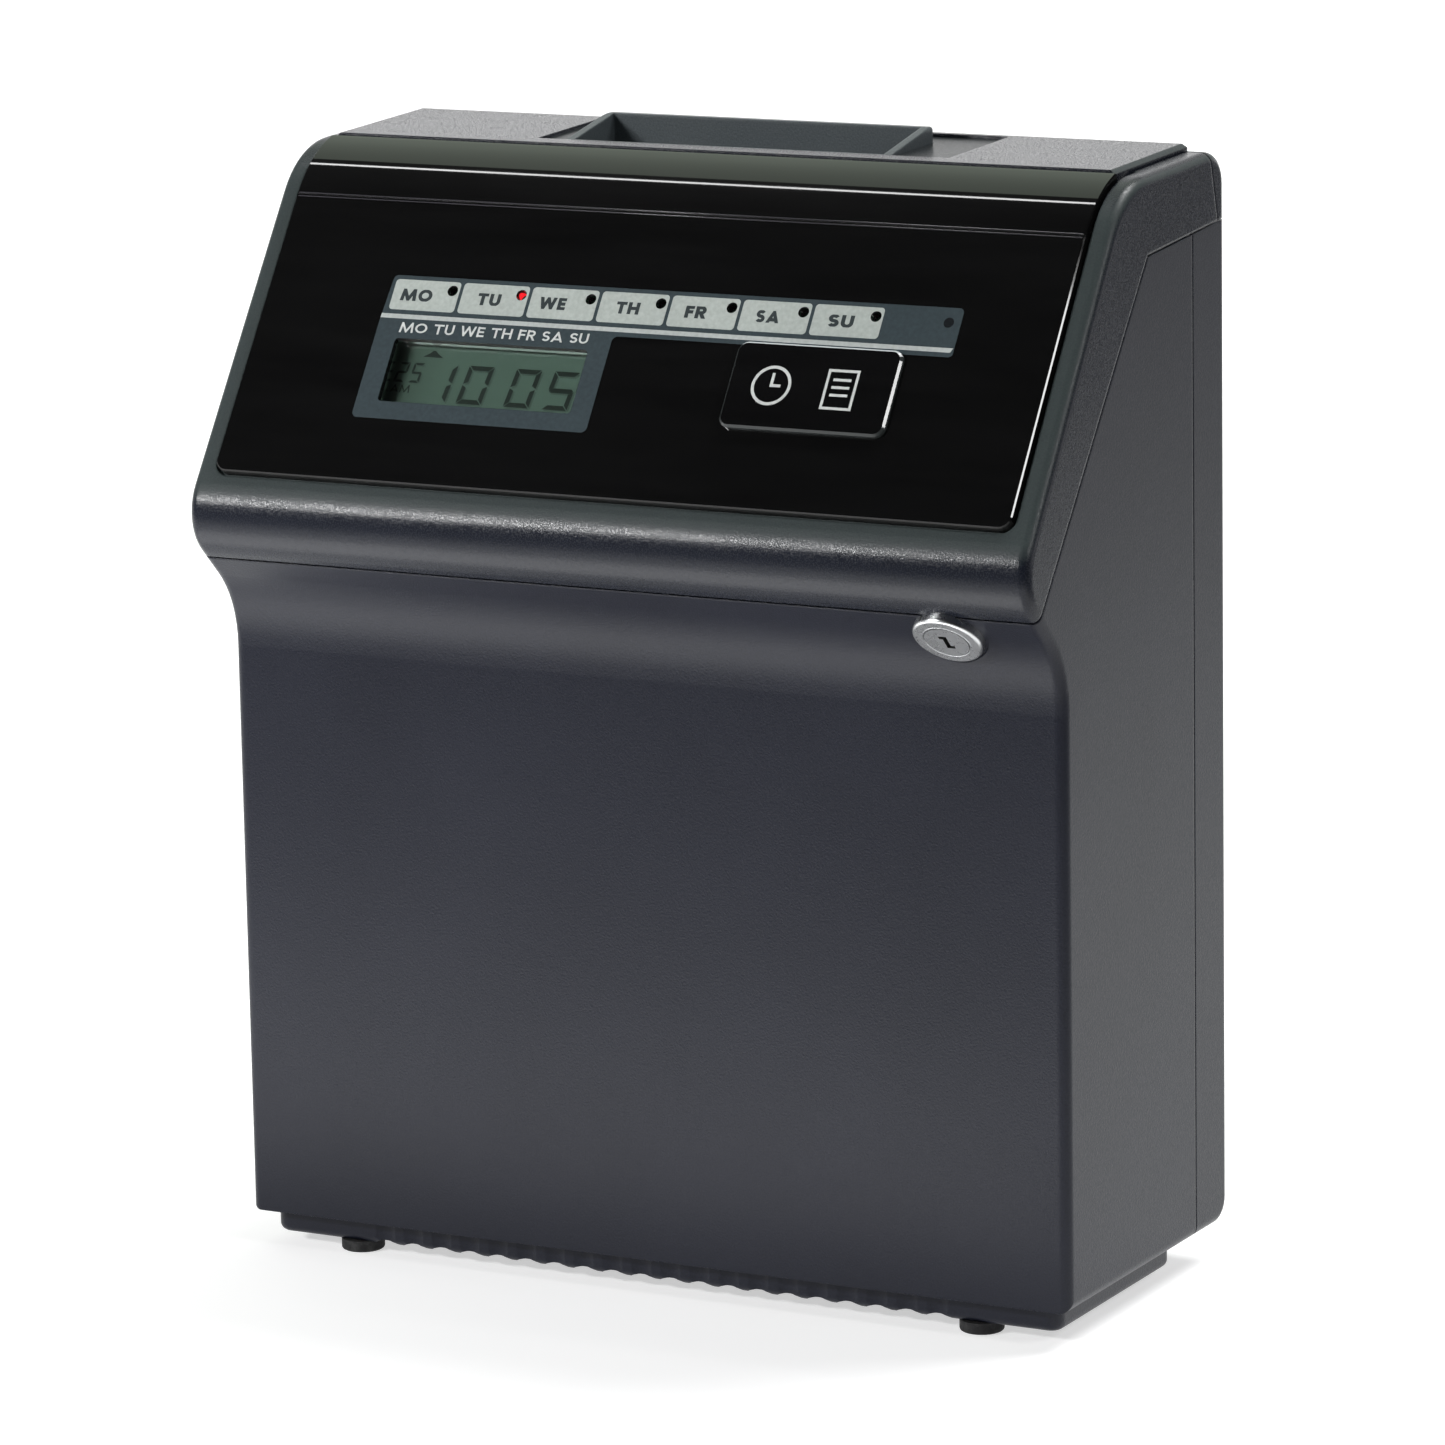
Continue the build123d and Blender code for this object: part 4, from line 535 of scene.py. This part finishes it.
def stroke(points, thick):
    """Four-sided pieces of a thick line through the points, with mitred corners."""
    line = [Vector(p) for p in points]
    closed = (line[0] - line[-1]).length < 1e-6
    edges = []
    for i, p in enumerate(line):
        before = line[i - 1] if i else line[-2] if closed else None
        after = line[i + 1] if i + 1 < len(line) else line[1] if closed else None
        way_in = (p - before).normalized() if before else (after - p).normalized()
        way_out = (after - p).normalized() if after else way_in
        side = Vector((-(way_in.y + way_out.y), way_in.x + way_out.x)).normalized()
        reach_out = thick / 2 / max(0.2, side.dot(Vector((-way_in.y, way_in.x))))
        edges.append((p + side * reach_out, p - side * reach_out))
    return [[a[0], b[0], b[1], a[1]] for a, b in zip(edges, edges[1:])]


def trim(shape, low, high):
    """The part of a convex shape between two heights."""
    for limit, keep_below in ((high, True), (low, False)):
        kept = []
        for p, q in zip(shape, shape[1:] + shape[:1]):
            p_in = p.y <= limit if keep_below else p.y >= limit
            q_in = q.y <= limit if keep_below else q.y >= limit
            if p_in:
                kept.append(p)
            if p_in != q_in:
                kept.append(p.lerp(q, (limit - p.y) / (q.y - p.y)))
        shape = kept
        if len(shape) < 3:
            return []
    return shape


def word(text, thick):
    """Strokes of a line of capitals: a list of shape lists, one for each stroke."""
    strokes, pen = [], 0.0
    for letter in text:
        if letter == " ":
            pen += WORD_GAP
            continue
        shapes = [[trim(quad, 0.0, 1.0) for quad in stroke(line, thick)] for line in LETTERS[letter]]
        xs = [p.x for line in shapes for quad in line for p in quad]
        shift = Vector((pen - min(xs), 0))
        strokes += [[[p + shift for p in quad] for quad in line if quad] for line in shapes]
        pen += max(xs) - min(xs) + LETTER_GAP
    return strokes


def slabs(name, strokes, layer, face, material, body):
    """Thin raised shapes on the face; strokes that cross lie a hair above one another."""
    low, high = layer
    shape = bmesh.new()
    for number, quads in enumerate(strokes):
        lift = STROKE_LIFT * (number % 4)
        faces = []
        for quad in quads:
            corners = [shape.verts.new((p.x, p.y, low)) for p in quad]
            faces.append(shape.faces.new(corners))
        verts = list(dict.fromkeys(v for f in faces for v in f.verts))
        bmesh.ops.remove_doubles(shape, verts=verts, dist=1e-5)
        faces = [f for f in shape.faces if all(abs(v.co.z - low) < 1e-9 for v in f.verts) and not f.tag]
        for f in faces:
            f.tag = True
            if f.normal.z > 0 or f.calc_area() == 0:
                f.normal_flip()
        made = bmesh.ops.extrude_face_region(shape, geom=faces)
        for item in made["geom"]:
            if isinstance(item, bmesh.types.BMVert):
                item.co.z = high + lift
        for f in shape.faces:
            f.tag = True
    bmesh.ops.recalc_face_normals(shape, faces=shape.faces)
    mesh = bpy.data.meshes.new(name)
    shape.to_mesh(mesh)
    shape.free()
    return finish_piece(name, mesh, slope_matrix(face), material, body)


def lettering(name, text, centre, height, width, thick, layer, face, material, body):
    """Capitals of a given height and overall width, in mm, centred on a point of the face."""
    strokes = word(text, thick)
    xs = [p.x for line in strokes for quad in line for p in quad]
    wide = width / (max(xs) - min(xs))
    corner = Vector((centre[0] - width / 2, centre[1] - height / 2))
    placed = [[[corner + Vector(((p.x - min(xs)) * wide, p.y * height)) for p in quad] for quad in line]
              for line in strokes]
    return slabs(name, placed, layer, face, material, body)


ink_grey = printed("ink_grey", (0.047, 0.063, 0.071))
ink_box = printed("ink_box", (0.45, 0.49, 0.465))
ink_dark = printed("ink_dark", (0.045, 0.055, 0.058))
ink_white = printed("ink_white", (0.62, 0.64, 0.63))
ink_line = printed("ink_line", (0.47, 0.50, 0.49))
ink_black = printed("ink_black", (0.012, 0.014, 0.016))

LCD_X = (-74.5, -15.7)
LCD_S = (27.0, 45.6)
DAYS = ("MO", "TU", "WE", "TH", "FR", "SA", "SU")
DAY_SHIFT = (-2.6, -1.4, -3.1, -1.5, -2.2, -2.0, -1.7)     # letters stand left of the box middle
DAY_WIDE = (9.6, 7.0, 8.0, 7.0, 6.4, 6.9, 7.4)
DAY_HIGH, DAY_THICK = 3.5, 0.27
BOX_X0, BOX_WIDE, BOX_ROUNDING = -79.3, 20.1, 1.0
BOX_S = (54.0, 63.0)

# each printed layer's lower and upper height above its face, mm
FIELD_LAYER = (0.01, 0.05)
BOX_LAYER = (0.02, 0.08)
DOT_LAYER = (0.03, 0.08)
NAME_LAYER = (0.05, 0.11)
WORDS_LAYER = (0.02, 0.09)
MARK_LAYER = (0.01, 0.06)
LCD_SHADOW_LAYER = (0.005, 0.02)
LCD_LAYER = (0.02, 0.05)

lamp_holes = [ring(LAMP_X0 + LAMP_PITCH * i, LAMP_S, LAMP_R) for i in range(len(DAYS))]
legend = rounded([
    (-81.0, 21.8, 1.6), (-9.5, 21.8, 1.6), (-9.5, 50.1, 1.6), (89.9, 50.1, 1.2),
    (89.9, 64.2, 1.4), (-80.3, 64.2, 1.4), (-81.0, 50.0, 0.0),
])
window_hole = box2(LCD_X[0] - 0.05, LCD_S[0] - 0.05, LCD_X[1] + 0.05, LCD_S[1] + 0.05, 1.2)
flat("legend_field", [legend, window_hole] + lamp_holes, FIELD_LAYER, WINDOW_FACE, ink_grey,
     "front_cover")
for i, day in enumerate(DAYS):
    left = BOX_X0 + LAMP_PITCH * i
    outline = box2(left, BOX_S[0], left + BOX_WIDE, BOX_S[1], BOX_ROUNDING)
    flat(f"day_box_{i + 1}", [outline, lamp_holes[i]], BOX_LAYER, WINDOW_FACE, ink_box,
         "front_cover")
    middle = (left + BOX_WIDE / 2 + DAY_SHIFT[i], (BOX_S[0] + BOX_S[1]) / 2)
    lettering(f"day_name_{i + 1}", day, middle, DAY_HIGH, DAY_WIDE[i], DAY_THICK, NAME_LAYER,
              WINDOW_FACE, ink_dark, "front_cover")
flat("legend_line", [rounded([(-80.95, 51.4, 0), (89.0, 51.4, 0.5), (89.6, 52.7, 0), (-80.9, 52.7, 0)])],
     BOX_LAYER, WINDOW_FACE, ink_line, "front_cover")
lettering("display_days", " ".join(DAYS), (-45.3, 48.85), 3.0, 57.6, 0.16, WORDS_LAYER, WINDOW_FACE,
          ink_white, "front_cover")
flat("spare_dot", [ring(86.4, 59.9, 1.45)], DOT_LAYER, WINDOW_FACE, ink_black, "front_cover")

CREASE_S = 86.75
CREASE_GAP = 0.5
CREASE_HALF = 117.6
CREASE_BEAD = (0.17, 0.13)              # half width and height
crease_skin = polished("crease_line", colour(0.028, 0.026, 0.032), smear=0.05, rough=0.2)
for i, s in enumerate((CREASE_S - CREASE_GAP, CREASE_S + CREASE_GAP)):
    bead = bmesh.new()
    turns = [math.pi * k / 8 for k in range(9)]
    rim = [(s + CREASE_BEAD[0] * math.cos(v), CREASE_BEAD[1] * math.sin(v)) for v in turns]
    ends = [[bead.verts.new((x, along, up)) for along, up in rim] for x in (-CREASE_HALF, CREASE_HALF)]
    for k in range(8):
        bead.faces.new((ends[0][k], ends[1][k], ends[1][k + 1], ends[0][k + 1])).smooth = True
    bead.faces.new(ends[0])
    bead.faces.new(ends[1][::-1])
    bead.faces.new((ends[0][0], ends[0][8], ends[1][8], ends[1][0]))
    bmesh.ops.recalc_face_normals(bead, faces=bead.faces)
    bead_mesh = bpy.data.meshes.new(f"window_crease_{i + 1}")
    bead.to_mesh(bead_mesh)
    bead.free()
    finish_piece(f"window_crease_{i + 1}", bead_mesh, slope_matrix(WINDOW_FACE), crease_skin,
                 "front_cover")

# the lock: a fine raised bead round the plug
RING_STEPS = 64


def lock_ring(name, profile, material):
    """A ring round the lock's axis, from a closed profile of (radius, height above the rim's face) in mm."""
    top = reach("lock_housing", LOCK_AXIS) - LOCK_PLACE.dot(LOCK_AXIS)
    spin = LOCK_AXIS.to_track_quat("Z", "Y").to_matrix()
    ring_shape = bmesh.new()
    rows = []
    for i in range(RING_STEPS):
        v = 2 * math.pi * i / RING_STEPS
        rows.append([ring_shape.verts.new(LOCK_PLACE + LOCK_AXIS * top + spin @ Vector(
            (r * math.cos(v), r * math.sin(v), h)) * MM) for r, h in profile])
    for i in range(RING_STEPS):
        near_row, far_row = rows[i], rows[(i + 1) % RING_STEPS]
        for k in range(len(profile)):
            m = (k + 1) % len(profile)
            ring_shape.faces.new((near_row[k], near_row[m], far_row[m], far_row[k])).smooth = True
    bmesh.ops.recalc_face_normals(ring_shape, faces=ring_shape.faces)
    ring_mesh = bpy.data.meshes.new(name)
    ring_shape.to_mesh(ring_mesh)
    ring_shape.free()
    finish_piece(name, ring_mesh, Matrix.Identity(4), material, "front_cover")


BEAD_R, BEAD_HALF, BEAD_HIGH, BEAD_FOOT = 6.50, 0.15, 0.12, -0.03
bead_turns = [math.pi * k / 6 for k in range(7)]
bead_profile = [(BEAD_R + BEAD_HALF * math.cos(v), BEAD_HIGH * math.sin(v) + BEAD_FOOT) for v in bead_turns]
lock_ring("lock_bead", bead_profile, nickel_skin)

# a plain clock and time card stand on the name plate
clock = (41.5, 38.2)
card = (61.5, 38.2)
CLOCK_R = 5.3
CARD_HALF = (4.2, 5.4)
CARD_ROW = 2.6
CARD_THICK = 0.75
marks = [
    stroke(arc(clock[0], clock[1], CLOCK_R, CLOCK_R, 0, 360, 48), 0.85),
    stroke([(clock[0], clock[1] - 0.4), (clock[0], clock[1] + 3.6)], 0.8),
    stroke([(clock[0] - 0.3, clock[1]), (clock[0] + 2.7, clock[1])], 0.8),
    stroke([(card[0] + x * CARD_HALF[0], card[1] + y * CARD_HALF[1])
            for x, y in ((-1, -1), (-1, 1), (1, 1), (1, -1), (-1, -1))], CARD_THICK),
] + [stroke([(card[0] - CARD_ROW, card[1] + v), (card[0] + CARD_ROW, card[1] + v)], CARD_THICK)
     for v in (2.8, 0.6, -1.6)]
slabs("plate_pictogram", marks, MARK_LAYER, PLATE_FACE, ink_white, "front_cover")

# ---- what the display shows -------------------------------------------------------------------
lcd_ink = printed("lcd_ink", (0.018, 0.026, 0.022), rough=0.3)
lcd_painted_shadow = printed("lcd_painted_shadow", (0.088, 0.126, 0.106), rough=0.35)
SEGMENTS = {"0": "abcdef", "1": "bc", "2": "abged", "5": "afgcd"}


def digit(x, y, wide, high, thick, gap, lean, shown):
    """Outlines of a digit's bars: seven mitred bars in a leaning cell."""
    mid = high / 2
    t, g = thick, gap
    bars = {
        "a": [(g, high), (wide - g, high), (wide - t - g, high - t), (t + g, high - t)],
        "d": [(g, 0), (wide - g, 0), (wide - t - g, t), (t + g, t)],
        "f": [(0, high - g), (t, high - t - g), (t, mid + t / 2 + g), (0, mid + g)],
        "e": [(0, g), (t, t + g), (t, mid - t / 2 - g), (0, mid - g)],
        "b": [(wide, high - g), (wide - t, high - t - g), (wide - t, mid + t / 2 + g), (wide, mid + g)],
        "c": [(wide, g), (wide - t, t + g), (wide - t, mid - t / 2 - g), (wide, mid - g)],
        "g": [(g, mid), (t / 2 + g, mid + t / 2), (wide - t / 2 - g, mid + t / 2), (wide - g, mid),
              (wide - t / 2 - g, mid - t / 2), (t / 2 + g, mid - t / 2)],
    }
    return [[Vector((x + px + py * lean, y + py)) for px, py in bars[s]] for s in SEGMENTS[shown]]


LEAN = 0.105
PARALLAX = (-2.9, 2.0)      # the glass lies deeper than the window
BIG_S, SMALL_S = 28.0, 33.2
BIG_CELL = (7.7, 11.3, 1.35, 0.16)      # width, height, bar thickness and gap
SMALL_CELL = (3.3, 5.9, 0.7, 0.12)
SHADOW_SHIFT = Vector((0.55, -0.5))
big = []
for x, shown in ((-62.2, "1"), (-51.1, "0"), (-36.6, "0"), (-25.0, "5")):
    big += digit(x + PARALLAX[0], BIG_S + PARALLAX[1], *BIG_CELL, LEAN, shown)
small = []
for x, shown in ((-71.9, "2"), (-67.4, "5")):
    small += digit(x + PARALLAX[0], SMALL_S + PARALLAX[1], *SMALL_CELL, LEAN, shown)
marker = [[Vector((x + PARALLAX[0], y + PARALLAX[1])) for x, y in
           ((-64.9, 41.0), (-63.0, 42.2), (-62.1, 43.0), (-61.5, 43.0), (-60.6, 42.2), (-58.7, 41.0))]]
# a painted shadow: a darker copy of the bars, shifted down and right on the glass
shadow = [[p + SHADOW_SHIFT for p in bar] for bar in big + small]
flat("display_shadow", shadow, LCD_SHADOW_LAYER, GLASS_FACE, lcd_painted_shadow, "case")
flat("display_time", big, LCD_LAYER, GLASS_FACE, lcd_ink, "case")
flat("display_date", small, LCD_LAYER, GLASS_FACE, lcd_ink, "case")
flat("display_marker", marker, LCD_LAYER, GLASS_FACE, lcd_ink, "case")
lettering("display_half", "AM", (-69.1 + PARALLAX[0], 31.3 + PARALLAX[1]), 2.3, 6.0, 0.15,
          LCD_LAYER, GLASS_FACE, lcd_ink, "case")

# ---- stage, light and camera ------------------------------------------------------------------
FLOOR_R = 14.0
FLOOR_GLOW = 0.56
floor_mesh = bpy.data.meshes.new("floor")
disc = bmesh.new()
bmesh.ops.create_circle(disc, cap_ends=True, segments=96, radius=FLOOR_R)
disc.to_mesh(floor_mesh)
disc.free()
floor = bpy.data.objects.new("floor", floor_mesh)
bpy.context.scene.collection.objects.link(floor)
paper = Nodes("pale_floor")
front = paper.ramp(paper.part("Y"), -0.34, -0.70, 1.0, 0.10)
aside = paper.ramp(paper.part("X"), 0.38, 0.72, 1.0, 0.15)
near = paper.maths("MULTIPLY", front, aside)
grey = paper.mix(paper.noise(6.0, 4.0), (0.66, 0.66, 0.665, 1), (0.69, 0.69, 0.69, 1))
glow = paper.maths("MULTIPLY", near, FLOOR_GLOW)
floor_skin = paper.set(Base_Color=paper.scaled(grey, near), Roughness=0.9, Specular_IOR_Level=0.1,
                       Emission_Color=(1, 1, 1, 1), Emission_Strength=glow)
floor_mesh.materials.append(floor_skin)


def area(name, place, aim, size, size_y, radiance, tint=(1, 1, 1)):
    """A rectangular soft light at a place, facing a point, with its sides in metres and its radiance."""
    data = bpy.data.lights.new(name, "AREA")
    data.shape = "RECTANGLE"
    data.size, data.size_y = size, size_y
    data.energy = radiance * size * size_y * math.pi
    data.color = tint
    thing = bpy.data.objects.new(name, data)
    thing.location = place
    thing.rotation_mode = "QUATERNION"
    thing.rotation_quaternion = (Vector(aim) - Vector(place)).to_track_quat("-Z", "Y")
    bpy.context.scene.collection.objects.link(thing)
    return thing


def sun(name, direction, strength, spread, tint=(1, 1, 1)):
    """A distant light, its spread in degrees."""
    data = bpy.data.lights.new(name, "SUN")
    data.energy = strength
    data.angle = math.radians(spread)
    data.color = tint
    thing = bpy.data.objects.new(name, data)
    thing.rotation_mode = "QUATERNION"
    thing.rotation_quaternion = (-Vector(direction)).to_track_quat("-Z", "Y")
    bpy.context.scene.collection.objects.link(thing)
    return thing


def flat_area(name, x0, x1, y0, y1, z, radiance, tint=(1, 1, 1)):
    """A level soft light over a rectangle, facing down."""
    middle = ((x0 + x1) / 2, (y0 + y1) / 2, z)
    thing = area(name, middle, (middle[0], middle[1], 0), x1 - x0, y1 - y0, radiance, tint)
    thing.rotation_quaternion = (1, 0, 0, 0)
    return thing


sun("overhead_light", (0.24, 0.42, 0.87), 2.6, 28.0)
flat_area("top_softbox", -1.5, 0.5, 0.19, 1.5, 1.4, 0.90, (0.87, 1.0, 0.83))
flat_area("strip_light", -1.05, -0.25, 0.049, 0.086, 1.4, 14.0)
area("back_panel", (-0.7, 2.3, 0.95), (0, 0, 0.3), 3.4, 1.5, 0.72)
area("side_softbox", (1.35, 0.85, 0.22), (0.1, 0, 0.14), 1.0, 0.3, 1.08)
area("edge_light", (1.12, -0.26, 0.87), (0.12, 0, 0.23), 0.16, 0.3, 22.0)
floor_card = flat_area("floor_card", -0.36, 0.10, -0.27, -0.11, 0.004, 2.2)
floor_card.rotation_quaternion = (0, 1, 0, 0)      # faces up
area("front_softbox", (-0.74, -1.10, 0.70), (0, 0, 0.19), 0.50, 0.10, 92.0)

world = bpy.data.worlds.new("studio")
bpy.context.scene.world = world
world.use_nodes = True
sky = world.node_tree
ray = sky.nodes.new("ShaderNodeTexCoord").outputs["Generated"]
direction = sky.nodes.new("ShaderNodeSeparateXYZ")
sky.links.new(ray, direction.inputs[0])


def sky_ramp(axis, start, end, low, high):
    """Brightness that changes softly from low to high along a direction of the sky."""
    ramp = sky.nodes.new("ShaderNodeMapRange")
    ramp.interpolation_type = "SMOOTHSTEP"
    sky.links.new(direction.outputs[axis], ramp.inputs[0])
    for socket, value in enumerate((start, end, low, high), 1):
        ramp.inputs[socket].default_value = value
    return ramp.outputs[0]


level = sky_ramp("Z", 0.04, 0.38, 1.0, 0.065)
for other in (sky_ramp("Y", -0.70, 0.1, 0.06, 1.0), sky_ramp("X", 0.05, 0.5, 1.0, 0.35)):
    product = sky.nodes.new("ShaderNodeMath")
    product.operation = "MULTIPLY"
    sky.links.new(level, product.inputs[0])
    sky.links.new(other, product.inputs[1])
    level = product.outputs[0]
sky.links.new(level, sky.nodes["Background"].inputs["Strength"])
sky.nodes["Background"].inputs["Color"].default_value = (1.0, 1.0, 1.0, 1)

# angles in degrees, lens in mm, distance and target in metres
CAMERA = {"azimuth": 28.026, "elevation": 11.785, "roll": -1.013, "lens": 176.65, "distance": 1.8908}
TARGET = Vector((0.014353, -0.019582, 0.155145))
a, e, r = (math.radians(CAMERA[k]) for k in ("azimuth", "elevation", "roll"))
back = Vector((math.sin(a) * math.cos(e), -math.cos(a) * math.cos(e), math.sin(e)))
right = Vector((math.cos(a), math.sin(a), 0))
up = back.cross(right)
cam_x = right * math.cos(r) + up * math.sin(r)
cam_y = up * math.cos(r) - right * math.sin(r)
camera_data = bpy.data.cameras.new("camera")
camera_data.lens = CAMERA["lens"]
camera_data.sensor_width = 36.0
camera_data.clip_start, camera_data.clip_end = 0.05, 60.0
camera = bpy.data.objects.new("camera", camera_data)
camera.rotation_mode = "QUATERNION"
camera.rotation_quaternion = Matrix((cam_x, cam_y, back)).transposed().to_quaternion()
camera.location = TARGET + back * CAMERA["distance"]
bpy.context.scene.collection.objects.link(camera)
bpy.context.scene.camera = camera
bpy.context.scene.view_settings.view_transform = "Standard"
